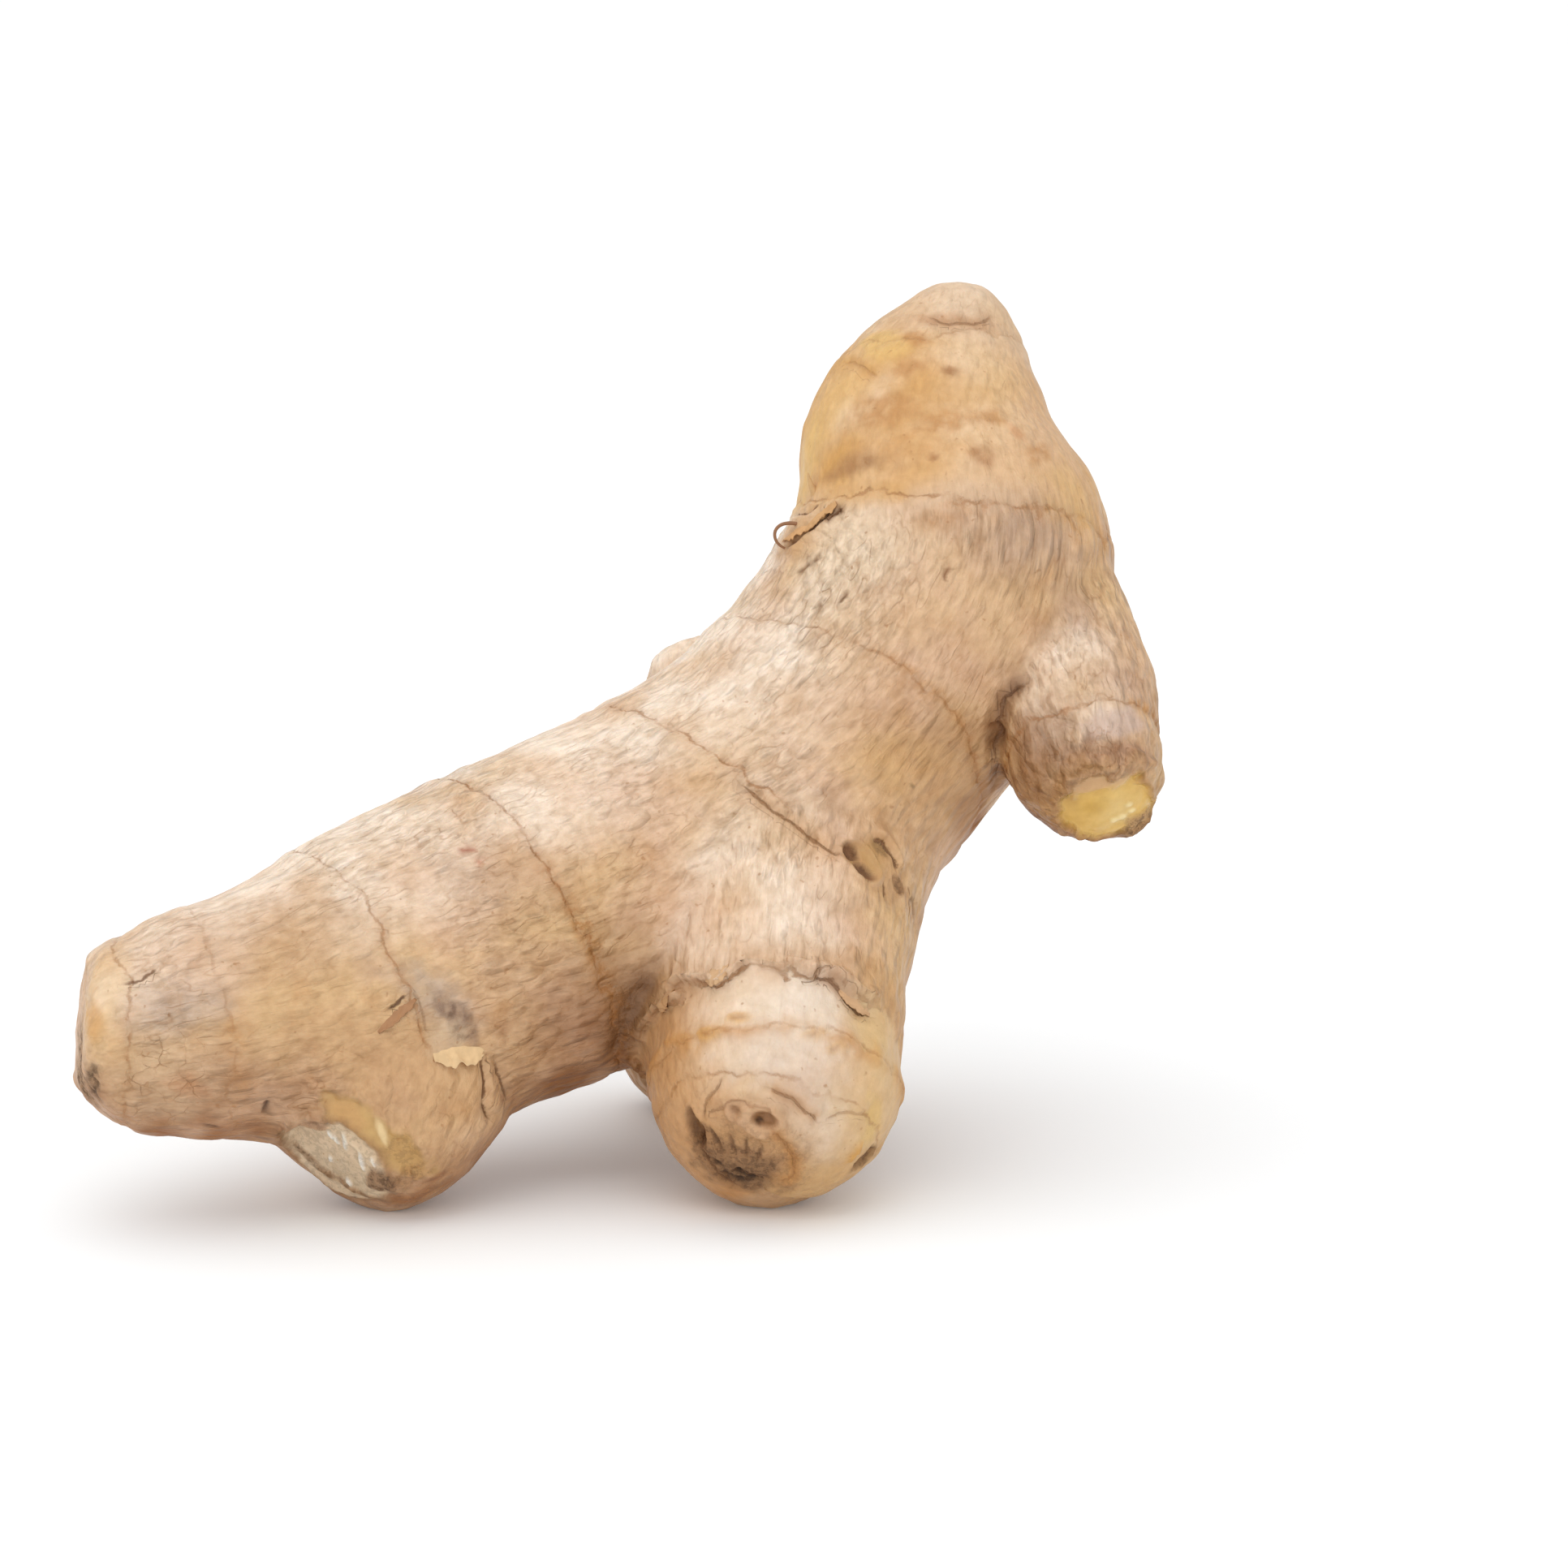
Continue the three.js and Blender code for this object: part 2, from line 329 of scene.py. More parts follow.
print("relief")
relief = {
    "slowLump": 0.28, "slowSize": 10, "lump": 0.2, "lumpSize": 4.2,
    "wrinkle": 0.1, "wrinkleSize": (4.4, 2.2, 2.2), "fold": 0.24, "foldSize": (8, 3.2, 3.2),
    "ringSwell": 0.24, "ringGroove": 0.3,
    "crease": 0.9, "creaseWidth": 1.6, "creaseReach": 3.5, "branchCrease": 0.5, "sideKnobCrease": 0.9,
}
# painted light by facing: a painted highlight on skin that faces up, painted shade on skin that faces down
facing = {
    "paintedLightFrom": (-0.35, -0.25, 0.9), "paintedHighlight": (262, 244, 225), "paintedHighlightCover": 0.95,
    "paintedShade": (160, 108, 64), "paintedShadeCover": 0.9,
}
height = relief["slowLump"] * noiseAt(places, [relief["slowSize"]] * 3, 1.3)
height += relief["lump"] * noiseAt(places, [relief["lumpSize"]] * 3, 5.9)
wrinkle = 0.6 + 0.4 * easeStep(-0.35, 0.45, noiseAt(places, (16, 16, 16), 12.5))
tint = np.zeros((len(places), 4))  # colour times cover, and cover
crust = np.zeros(len(places))
wet = np.zeros(len(places))
netted = np.zeros(len(places))
crack = np.full(len(places), 5.0)
crackCover = np.zeros(len(places))
crackSoft = np.zeros(len(places))  # 0 for a dark crack, 1 for a light brown one
edgeNoise = noiseAt(places, [2.4] * 3, 2.9, 2)
mottleNoise = noiseAt(places, [1.3] * 3, 9.4, 2)
wiggles = np.stack([noiseAt(places, [1.8] * 3, seed) for seed in (2.2, 4.4, 6.6)], 1)


def swellRing(past, strength):
    # skin gathers before the ring, and steps down just past it
    swell = relief["ringSwell"] * bell(past + 1.1, 1.3) - relief["ringGroove"] * bell(past - 0.1, 0.45)
    return strength * swell


height += swellRing(pastSpineRing, spineStrength) + swellRing(pastBranchRing, branchStrength)


def paint(colour, cover):
    cover = np.clip(cover, 0, 1)[:, None]
    tint[:] = tint * (1 - cover) + np.append(np.array(linear(*colour)), 1) * cover


def nearby(at, turn):
    # distances right, up and out from a place on the skin, as seen facing it
    centre = np.array(spot(*at)) / mm
    gap = np.linalg.norm(places - centre, axis=1)
    centre = places[gap.argmin()]
    out = normals[gap < gap.min() + 3].mean(0)
    out /= np.linalg.norm(out)
    right = np.cross((0, 0, 1.0), out)
    right /= np.linalg.norm(right)
    up = np.cross(out, right)
    away = places - centre
    angle = math.radians(turn)
    u, v = away @ right, away @ up
    sameSide = normals @ out > -0.1
    return (
        u * math.cos(angle) + v * math.sin(angle),
        v * math.cos(angle) - u * math.sin(angle),
        np.where(sameSide, away @ out, 99.0),
    )


def addSpot(at, size, turn=0, colour=None, cover=1, soft=0.25, wobble=0.2, lift=0, rim=0, rimWidth=0.18,
            crusty=0, wetness=0, smooth=0, mottle=0, netting=0):
    global height, crust, wet, wrinkle, netted
    u, v, w = nearby(at, turn)
    e = np.sqrt((u / size[0]) ** 2 + (v / size[1]) ** 2 + (w / (1.2 * max(size) + 2)) ** 2)
    e = e * (1 + wobble * edgeNoise)
    inside = 1 - easeStep(1 - soft, 1 + soft, e)
    if mottle:
        inside = inside * (1 - mottle * easeStep(-0.2, 0.4, mottleNoise))
    height += lift * inside + rim * bell(e - 1, rimWidth)
    if colour:
        paint(colour, cover * inside)
    crust = np.maximum(crust, crusty * inside)
    wet = np.maximum(wet, wetness * inside)
    netted = np.maximum(netted, netting * inside)
    wrinkle = wrinkle * (1 - smooth * inside)


def cutFlat(at, size, towards, depth):
    # a disc of skin pressed level, as a knife leaves it
    global height
    centre = np.array(spot(*at)) / mm
    out = np.array(towards, float) / np.linalg.norm(towards)
    away = places - centre
    above = away @ out
    inPlane = np.linalg.norm(away - above[:, None] * out, axis=1)
    inside = (1 - easeStep(0.85, 1.1, inPlane / size)) * (normals @ out > 0.3)
    height += inside * np.clip(-above - depth, -1.6, 1.4)


def markCrack(signed, presence, softness):
    global crack, crackCover, crackSoft
    stronger = presence > crackCover
    crack = np.where(stronger, signed, crack)
    crackCover = np.where(stronger, presence, crackCover)
    crackSoft = np.where(stronger, softness, crackSoft)


def addLine(points, width=0.5, depth=0.3, dark=1, colour=None, cover=0, spread=1.2, lip=0, wiggle=0.35,
            softness=0.3):
    # A crack or crease along a few points on the skin. The lip stands up on the line's left side.
    global height
    route = np.array([np.array(spot(*p)) / mm for p in points])
    route = np.array([places[np.linalg.norm(places - p, axis=1).argmin()] for p in route])
    moved = places + wiggle * wiggles
    nearest = np.full(len(places), 1e9)
    signed = np.zeros(len(places))
    taper = np.zeros(len(places))
    lengths = np.linalg.norm(np.diff(route, axis=0), axis=1)
    total = lengths.sum()
    done = 0
    for start, end, length in zip(route, route[1:], lengths):
        way = (end - start) / length
        reach = np.clip((moved - start) @ way, 0, length)
        gap = moved - start - reach[:, None] * way
        distance = np.linalg.norm(gap, axis=1)
        closer = distance < nearest
        side = np.sign((np.cross(normals, way) * gap).sum(1))
        nearest = np.where(closer, distance, nearest)
        signed = np.where(closer, distance * side, signed)
        share = (done + reach) / total
        taper = np.where(closer, easeStep(0, 0.12, share) * easeStep(0, 0.12, 1 - share), taper)
        done += length
    height -= depth * bell(nearest, width) * (0.4 + 0.6 * taper)
    height += lip * bell(signed - 0.9, 0.7) * taper
    if colour:
        paint(colour, cover * bell(nearest, spread) * (0.3 + 0.7 * taper))
    presence = dark * (1 - easeStep(0.75, 1.15, nearest)) * (0.15 + 0.85 * taper)
    markCrack(signed, presence, softness)


# painted highlight where the skin faces up towards the key light, and painted shade where it faces down
paintedHighlightShare = easeStep(0.35, 1.0, normals @ Vector(facing["paintedLightFrom"]).normalized())
paint(facing["paintedHighlight"], facing["paintedHighlightCover"] * paintedHighlightShare * (0.75 + 0.8 * noiseAt(places, [9] * 3, 61.7, 2)))
# painted shade: skin that faces down is painted darker tan
paintedShadeShare = easeStep(-0.35, 0.95, -normals[:, 2])
paint(facing["paintedShade"], facing["paintedShadeCover"] * paintedShadeShare * (0.8 + 0.8 * noiseAt(places, [6] * 3, 67.3, 2)))

# creases where a branch leaves the spine
crease = bell(followed["spine"]["outside"] - outsides.min(0), relief["creaseWidth"])
crease *= bell(followed["spine"]["outside"], relief["creaseReach"])
creaseDepth = np.full(len(branchNames), relief["branchCrease"])
creaseDepth[branchNames.index("sideKnob")] = relief["sideKnobCrease"]
creaseDepth = creaseDepth[branchIndex]
height -= relief["crease"] * crease * creaseDepth
# painted shade: the creases are painted brown in patches, more where they are deeper
paint((150, 104, 62), 0.45 * crease * creaseDepth * easeStep(-0.3, 0.5, noiseAt(places, [3] * 3, 44)))

print("marks")
addSpot((50.5, 27, 22), (8, 9), 0, (148, 104, 66), 0.55, 0.8, 0.2)
addSpot((19.5, 11.5, 32), (9, 6), 0, (196, 148, 98), 0.6, 0.8, 0.3, mottle=0.2)
addSpot((40.5, 26, 36), (7, 5), -30, (206, 166, 134), 0.5, 0.8, 0.3, mottle=0.2)
addSpot((77.5, 44, 46), (6, 5), 0, (204, 160, 120), 0.5, 0.8, 0.3, mottle=0.2)
addSpot((3.9, 4.4, 27.5), (3.2, 6.5), 10, (228, 190, 134), 0.5, 0.4, 0.3, smooth=0.5)
addSpot((3.6, 2.5, 24.5), (1.6, 2.6), 30, (214, 152, 70), 0.55, 0.5, 0.4)
addSpot((1.5, 10, 18), (3.5, 5.5), 0, (178, 150, 120), 0.6, 0.5, 0.3, crusty=0.9, lift=-0.2)
addSpot((3.1, 2.9, 17.4), (1.3, 2.6), -25, (88, 66, 46), 0.75, 0.5, 0.5, lift=-0.5, crusty=1, mottle=0.7)
addSpot((11, 1.5, 25.7), (5.5, 3), 12, (196, 180, 172), 0.55, 0.6, 0.3, mottle=0.3)
addSpot((9.9, 0.6, 18), (6.5, 6), 0, (214, 184, 150), 0.5, 0.6, 0.3, netting=1)
addSpot((12.3, 1.5, 17.2), (1.4, 2.2), 60, (196, 128, 84), 0.45, 0.6, 0.4, mottle=0.3)
addSpot((18.3, 6.6, 14.1), (0.35, 1.1), -8, (84, 52, 28), 0.9, 0.6, 0.2, lift=-0.35)
addSpot((13.7, 6.4, 12), (0.9, 0.35), -20, (96, 66, 44), 0.8, 0.6, 0.2, lift=-0.2)
addLine([(6.2, 3.6, 29), (7.4, 2.6, 30.2), (8.6, 2.5, 31.5)], 0.4, 0.25, 0.9)
addSpot((36, 23.7, 40.1), (1, 0.5), 10, (172, 92, 60), 0.8, 0.5, 0.3)
addSpot((37, 22.5, 39), (0.7, 0.4), 40, (180, 100, 66), 0.6, 0.5, 0.3)

addLine([(60.5, 36, 45.6), (62.4, 34.8, 44.1), (65.8, 32.4, 41.4), (68, 31.2, 39.2), (70, 31.4, 38)], 0.5,
        0.35, 0.8, (196, 142, 88), 0.45, 1.4, lip=0.3, softness=0.6)

# the dark stain above the cut knob, the split skin beside it
addSpot((33.5, 12, 25.2), (5.5, 2.6), -38, (190, 178, 172), 0.55, 0.6, 0.35, mottle=0.35)
addSpot((34.7, 12.1, 23.9), (2.3, 1.3), -35, (128, 104, 90), 0.8, 0.5, 0.4, crusty=0.3, mottle=0.5)
addSpot((35.8, 12.8, 21.8), (2, 1.5), -30, (122, 98, 84), 0.75, 0.5, 0.5, crusty=0.3, mottle=0.5)
addSpot((34.3, 11, 20.8), (2.6, 2.2), 10, (222, 205, 178), 0.6, 0.5, 0.3, smooth=0.5)
addLine([(37.6, 14.5, 18.5), (37.5, 15, 15.5), (37.4, 15.8, 12.6), (37.8, 17.4, 10.5)], 0.55, 0.7, 1, lip=0.3)
addLine([(38.3, 16.2, 17.6), (38.9, 18.2, 14.4), (39.8, 20.4, 12), (39.9, 22, 10.2)], 0.5, 0.4, 0.8)
addLine([(31.3, 10.4, 26.6), (32.4, 10.2, 24), (33, 9.6, 21.5)], 0.5, 0.2, 0.35, (196, 170, 140), 0.3)

addLine([(29.2, 8.6, 24.5), (30, 9, 25.3), (30.8, 9.5, 26.2)], 0.4, 0.3, 0.95, softness=0)

# the cut knob's face
addSpot((30, 12, 17), (11, 7), -10, (202, 154, 112), 0.5, 0.8, 0.2, mottle=0.15)
wrinkle = wrinkle * (1 - 0.4 * np.where(branchIndex == branchNames.index("cutKnob"), onBranch, 0))
cutFace = {"at": (24.3, 12.6, 7.3), "turn": -36, "colour": (228, 204, 172), "towards": (-0.5, -0.74, -0.45)}
addSpot((27.9, 8.2, 10.6), (7.6, 2.3), -40, (206, 168, 104), 0.8, 0.25, 0.3, lift=-0.4, rim=0.35,
        smooth=0.9, wetness=0.6)
addSpot((25.4, 6.8, 13), (2.6, 1.4), -28, (206, 160, 104), 0.75, 0.3, 0.3, lift=0.1, smooth=0.6)
addSpot((28.6, 7.3, 11), (0.5, 1.9), 18, (240, 214, 164), 0.8, 0.4, 0.2, lift=0.45)
addSpot((30.6, 8.4, 8.6), (2.8, 1.7), -55, (198, 156, 98), 0.75, 0.3, 0.4, crusty=0.3, lift=-0.1)
addSpot((30.9, 10.4, 6.1), (2.6, 1.3), 35, (184, 138, 88), 0.6, 0.4, 0.5, crusty=0.5, mottle=0.6)
addSpot(cutFace["at"], (7.6, 6.6), cutFace["turn"], (156, 114, 76), 0.85, 0.12, 0.1, lift=0.3, crusty=0.3)
addSpot(cutFace["at"], (7, 6), cutFace["turn"], cutFace["colour"], 0.98, 0.06, 0.1, lift=-0.35, smooth=1,
        wetness=0.4)
cutFlat(cutFace["at"], 6.6, cutFace["towards"], 0.2)
addSpot((25.4, 13, 5), (4.4, 2.4), -30, (206, 184, 154), 0.6, 0.6, 0.3)
# fibre ends on the cut face, raised and painted near white as highlights
fibreGlints = [
    ((23.6, 9.6, 9.8), 0.6, 10), ((23.4, 13, 6.4), 0.5, -8), ((25.2, 9, 9.7), 1.5, -12),
    ((26.6, 9.4, 7.2), 1.6, -5), ((27.8, 9.3, 7.7), 0.7, 0), ((25.1, 13.4, 4), 0.7, 4),
    ((24, 9.6, 9.4), 0.8, 30),
]
for fibre, length, lean in fibreGlints:
    addSpot(fibre, (0.3, length), lean, (250, 244, 232), 1, 0.3, 0.15, lift=0.3)
addSpot((21.9, 8.6, 11.6), (2.2, 1.8), -10, (196, 158, 124), 0.95, 0.2, 0.25, lift=0.8, rim=0.4)
addSpot((22, 8.7, 11.5), (0.8, 0.5), -10, (150, 112, 80), 0.8, 0.3, 0.2, lift=-0.5)
addSpot((21.4, 16, 6.6), (0.7, 3.4), 38, (150, 114, 80), 0.8, 0.4, 0.3, lift=0.2, crusty=0.8, mottle=0.4)
addSpot((25.4, 14.4, 3.6), (4.6, 0.5), -34, (166, 124, 84), 0.8, 0.4, 0.3, lift=0.2, crusty=0.6, mottle=0.4)
addSpot((28.5, 10.1, 5.4), (1.9, 1.8), 20, (160, 124, 92), 0.9, 0.3, 0.35, lift=0.4, crusty=0.8)
addSpot((33.4, 12.4, 5.4), (1.7, 0.5), 22, (150, 96, 58), 0.7, 0.5, 0.4, mottle=0.3)

# the front knob: torn skin above, pale skin below
frontOut = followed["frontKnob"]["out"]
frontAlong = followed["frontKnob"]["along"]
tear = {"along": 34.6, "lean": 2.4, "towards": (0, -0.72, 0.69), "lip": 0.85, "lipWidth": 0.6, "step": 0.6}
tearWander = 1.7 * noiseAt(places, [6] * 3, 21.4) + 1.5 * noiseAt(places, [2.4] * 3, 23.9, 2)
pastTear = frontAlong + tearWander - tear["along"] + tear["lean"] * (frontOut @ np.array(tear["towards"]))
onFrontKnob = np.where(branchIndex == branchNames.index("frontKnob"), onBranch, 0)
below = easeStep(-0.25, 0.35, pastTear) * onFrontKnob
above = onFrontKnob - below
notTorn = easeStep(0.66, 0.86, frontOut[:, 0])  # the skin is whole on the knob's right side
tornEdge = tear["lip"] * bell(pastTear + tear["lipWidth"], tear["lipWidth"])
height += onFrontKnob * (1 - notTorn) * (tornEdge - tear["step"] * easeStep(-0.25, 0.35, pastTear))
height += above * easeStep(-9, -1, pastTear) * 0.9 * noiseAt(branchGrain, (8, 1.8, 1.8), 50.5)
wrinkle = wrinkle * (1 - 0.7 * below)
paint((230, 202, 168), 0.65 * below * (0.8 + 0.8 * noiseAt(places, [4] * 3, 29.9, 2)))
# painted shade: darker tan where the pale skin below the tear faces down
paint((198, 150, 98), 0.5 * below * easeStep(0.2, 0.9, -normals[:, 2]))
paint((206, 158, 106), 0.5 * above * bell(pastTear + 2, 3.4))
paint((206, 150, 92), 0.65 * below * easeStep(0.25, 0.85, -frontOut[:, 0]))
paint((222, 182, 122), 0.5 * below * easeStep(0.4, 0.9, frontOut[:, 0]))
# painted shadow under the torn skin's lip: a brown band just past the tear, and a thin brown line along it
paint((160, 112, 70), 0.6 * onFrontKnob * (1 - notTorn) * bell(pastTear - 0.2, 0.5) * (0.6 + 0.9 * edgeNoise))
tearShadowCover = onFrontKnob * (1 - easeStep(0.9, 1.4, np.abs(pastTear))) * (1 - notTorn)
tearShadowCover = tearShadowCover * (0.3 + 0.55 * easeStep(-0.3, 0.3, noiseAt(places, [4] * 3, 27.1)))
markCrack(np.clip(pastTear - 0.2, -5, 5), tearShadowCover, 0.7)
bandAlong = frontAlong + 1.4 * noiseAt(places, [5] * 3, 25.5, 2)
lumpyBand = below * bell(bandAlong - 39.4, 1.3) * easeStep(-0.4, 0.0, noiseAt(places, [2.0] * 3, 26.6))
height += 0.4 * lumpyBand
paint((204, 150, 92), 0.85 * lumpyBand)
for bead in [(57.4, 11.9, 21.7), (60, 11.4, 23.3), (67.1, 9.9, 21.9), (69.2, 9.6, 20.1)]:
    addSpot(bead, (1.7, 0.8), 8, (222, 172, 104), 0.7, 0.3, 0.3, lift=0.25)
    addSpot(bead, (0.9, 0.35), 12, (176, 122, 70), 0.6, 0.5, 0.3, lift=-0.15)
addSpot((66.5, 12.5, 26), (6, 3), 0, (242, 230, 216), 0.6, 0.7, 0.3)
addSpot((64.7, 7.3, 20), (6.5, 3.4), 0, (236, 220, 206), 0.65, 0.7, 0.3, mottle=0.2)
addSpot((66, 5.3, 16), (5, 3), -10, (222, 198, 180), 0.5, 0.7, 0.3)
addSpot((67.5, 7, 10.5), (3.4, 4), 20, (232, 212, 192), 0.6, 0.6, 0.3, mottle=0.2)
addSpot((72.3, 16, 20.5), (2.4, 5.5), 5, (226, 192, 134), 0.5, 0.7, 0.3, smooth=0.6, wetness=0.3)
addSpot((72.4, 13, 11.2), (1.5, 3.2), 8, (220, 182, 106), 0.6, 0.4, 0.5, smooth=0.7, wetness=0.4)
addSpot((61.5, 9, 7.6), (8, 6), -8, (190, 144, 94), 0.7, 0.35, 0.25, crusty=0.3, lift=-0.1, netting=0.6)
addSpot((59.8, 9.4, 6.4), (6, 4.2), -14, (164, 124, 88), 0.9, 0.4, 0.35, crusty=0.7, lift=-0.3, mottle=0.15,
        netting=1)
addSpot((60, 10.4, 5), (4.4, 2.4), -12, (128, 98, 70), 0.8, 0.7, 0.4, crusty=1, mottle=0.35)
for fibre in [((58, 8.6, 9.6), 20), ((59.4, 7.6, 9.2), 8), ((60.8, 7.2, 9), -6), ((62, 7.2, 8.4), -18)]:
    addSpot(fibre[0], (0.3, 1.6), fibre[1], (120, 84, 54), 0.75, 0.5, 0.3, lift=-0.35)
for pit in [(58.6, 11.2, 4.6), (61.4, 10.4, 4.6), (59.8, 11.2, 3.9), (57.8, 10.6, 6.2), (60.4, 10, 5.4)]:
    addSpot(pit, (0.8, 0.55), -30, (58, 46, 38), 0.9, 0.4, 0.4, lift=-0.45)
addSpot((55.9, 10.7, 10.9), (1.35, 2.6), 14, (122, 84, 50), 0.9, 0.25, 0.12, lift=-1.2, rim=0.5, crusty=0.3)
addSpot((55.9, 9.9, 11.9), (0.7, 1.2), 14, (190, 146, 98), 0.7, 0.5, 0.2, lift=0.4)
addSpot((61.2, 5.6, 13.2), (3.9, 2.7), -12, (196, 150, 106), 0.6, 0.5, 0.2, lift=0.2)
addSpot((60.2, 5.8, 13.9), (1.9, 1.4), -10, (208, 166, 128), 0.85, 0.2, 0.2, lift=0.6, rim=0.25)
addSpot((60, 5.8, 14), (0.8, 0.4), -20, (150, 106, 70), 0.7, 0.5, 0.2, lift=-0.4)
addSpot((62.4, 5.4, 12.8), (2.4, 1.8), -18, (210, 170, 132), 0.9, 0.15, 0.2, lift=1.0, rim=0.45)
addSpot((62.6, 5.2, 13), (1.3, 0.85), -18, (152, 108, 70), 0.9, 0.3, 0.2, lift=-1.0)
addSpot((62.2, 5.2, 12.8), (0.45, 0.35), 0, (84, 58, 38), 0.9, 0.4, 0.2, lift=-0.3)
addSpot((71.5, 15.5, 6.6), (2, 1.3), 50, (140, 100, 62), 0.85, 0.35, 0.35, lift=-0.5, rim=0.35, crusty=0.7)
addSpot((70.6, 12.5, 7.7), (0.6, 1.4), -25, (214, 160, 84), 0.85, 0.3, 0.2, lift=0.4)
addLine([(66.6, 15.6, 27.6), (68.9, 16, 27.2), (70.3, 16.1, 24.8), (71.4, 16, 23.4), (72.4, 17.2, 22.8)],
        0.5, 0.35, 0.8, (164, 116, 74), 0.55, 0.9, lip=0.6, softness=0.3)
addLine([(55.4, 9.6, 9.6), (56.4, 10.6, 7), (58, 12, 4.6), (60.2, 13, 3.4)], 0.45, 0.4, 0.7, (140, 98, 62),
        0.5, 0.9, softness=0.2)
addLine([(58.7, 7.6, 17.5), (58.1, 7.6, 15.7), (57.1, 8.5, 13.9), (56.8, 9.1, 12.3)], 0.4, 0.35, 0.55,
        lip=0.15, softness=0.5)
addLine([(57, 8.2, 13.2), (58.6, 6.6, 13.9), (59.6, 6, 14.8), (61, 5.5, 15), (63, 5.3, 14.4),
        (63.4, 5.3, 13)], 0.4, 0.3, 0.45, lip=0.25, softness=0.5)
addLine([(63.2, 5.4, 12.1), (64.4, 6.5, 9.7), (65.5, 8, 7.8), (65.2, 10, 5.6), (63.6, 11, 4.6)], 0.45, 0.35,
        0.45, (190, 132, 70), 0.7, 0.9, lip=0.2, softness=0.8)
addLine([(62.9, 5.5, 16.6), (65.1, 5.6, 15.2), (66.3, 5.9, 13.8), (67.9, 7.1, 12.2)], 0.4, 0.45, 0.6,
        (196, 146, 96), 0.5, 1.2, lip=0.5, softness=0.7)
addLine([(68.2, 7.4, 12.4), (70, 9.5, 13.2), (71.6, 12, 12.6)], 0.4, 0.3, 0.4, lip=0.3, softness=0.8)

# painted shade: a broad dark brown band in the crease on the front knob's left, where it meets the body
addLine([(52.3, 25.3, 26.3), (51, 25.5, 23.5), (49.9, 25.9, 20.1), (48.9, 29.5, 15.9)], 0.9, 0.9, 0.25,
        (118, 80, 48), 0.8, 2.2, softness=0.4)

# the bud scar on the body
addSpot((73, 34.8, 36.6), (4.6, 4.4), -30, (204, 160, 112), 0.6, 0.4, 0.2, smooth=0.5, lift=-0.2)
addSpot((71.4, 33, 37.4), (3, 2), -52, (198, 152, 100), 0.8, 0.2, 0.08, rim=0.5, rimWidth=0.2, smooth=0.8)
addSpot((70.6, 32.4, 38.6), (1.25, 1), -60, (132, 92, 62), 0.92, 0.25, 0.15, lift=-0.7, crusty=0.5)
addSpot((71.5, 31.9, 36.5), (1.7, 0.95), -42, (140, 100, 70), 0.92, 0.25, 0.15, lift=-0.7, crusty=0.5)
addSpot((72.6, 35, 37.8), (1.7, 1.9), 0, (206, 164, 110), 0.8, 0.4, 0.15, lift=-0.2)
addLine([(72.8, 36.9, 40), (73.7, 38, 38.9), (74.5, 38.6, 37.3), (75, 38.1, 35.8)], 0.4, 0.5, 0.95, lip=0.55)
addSpot((73.5, 37, 38.4), (1.5, 0.75), -50, (160, 126, 84), 0.8, 0.4, 0.2, lift=-0.3)
addSpot((74.9, 36.5, 34.3), (0.8, 1.4), 12, (172, 132, 94), 0.85, 0.25, 0.12, lift=-0.15, rim=0.2, crusty=0.5)
addLine([(73.8, 34.5, 35), (73.6, 33, 33.6), (73.6, 32.5, 32.8)], 0.3, 0.25, 0.7, softness=0.2)
addSpot((75.9, 38.2, 31.3), (0.3, 0.95), -12, (140, 96, 58), 0.85, 0.4, 0.2, lift=-0.25)
addSpot((76.6, 39.6, 31.3), (0.3, 0.95), 12, (140, 96, 58), 0.85, 0.4, 0.2, lift=-0.25)
addSpot((76, 39, 32.3), (0.75, 0.3), 0, (140, 96, 58), 0.8, 0.4, 0.2, lift=-0.2)
addSpot((75.9, 38.5, 33.4), (0.25, 0.5), -8, (140, 96, 58), 0.8, 0.4, 0.2)
addSpot((76.1, 43.7, 44.8), (0.35, 0.35), 0, (62, 40, 26), 0.95, 0.4, 0.1)
addSpot((75.5, 43, 47.5), (6, 4.6), -30, (218, 172, 110), 0.5, 0.7, 0.3, mottle=0.25)

# the cone
onCone = easeStep(133, 138, followed["spine"]["along"] + 0.5 * wander) * (1 - onBranch)
wrinkle = wrinkle * (1 - 0.55 * onCone)
coneLeft = easeStep(0.55, -0.35, normals[:, 0])
paint((224, 180, 118), 0.4 * onCone)
paint((218, 166, 98), 0.7 * onCone * coneLeft * (0.8 + 0.9 * noiseAt(places, [7] * 3, 71.7, 2)))
paint((232, 204, 176), 0.5 * onCone * easeStep(154, 159, followed["spine"]["along"]))
addSpot((70, 70.9, 85), (3.4, 9), -24, (230, 184, 110), 0.65, 0.7, 0.25, smooth=0.5, wetness=0.3)
addSpot((74, 72, 92.6), (3.6, 2.4), -20, (230, 188, 112), 0.7, 0.35, 0.4, lift=0.25, wetness=0.3)
addSpot((77, 71, 93.6), (1.6, 1.2), -20, (190, 128, 62), 0.7, 0.5, 0.4, mottle=0.3)
addLine([(70, 74, 91), (72, 71, 89.6), (74, 69, 88.4)], 0.5, 0.3, 0.3, (196, 138, 66), 0.6, 1.2, softness=0.9)
addSpot((66.3, 70.6, 78.5), (3, 6), 0, (232, 192, 124), 0.7, 0.6, 0.2, smooth=0.6, wetness=0.3)
addSpot((71.5, 59.8, 79.9), (3.3, 1.3), 10, (150, 104, 66), 0.7, 0.7, 0.35, mottle=0.3)
addSpot((69.3, 62, 78.6), (2.6, 1), 25, (166, 118, 76), 0.6, 0.7, 0.35, mottle=0.3)
addSpot((77, 62, 87), (8, 5), 0, (214, 162, 96), 0.5, 0.8, 0.4, mottle=0.5)
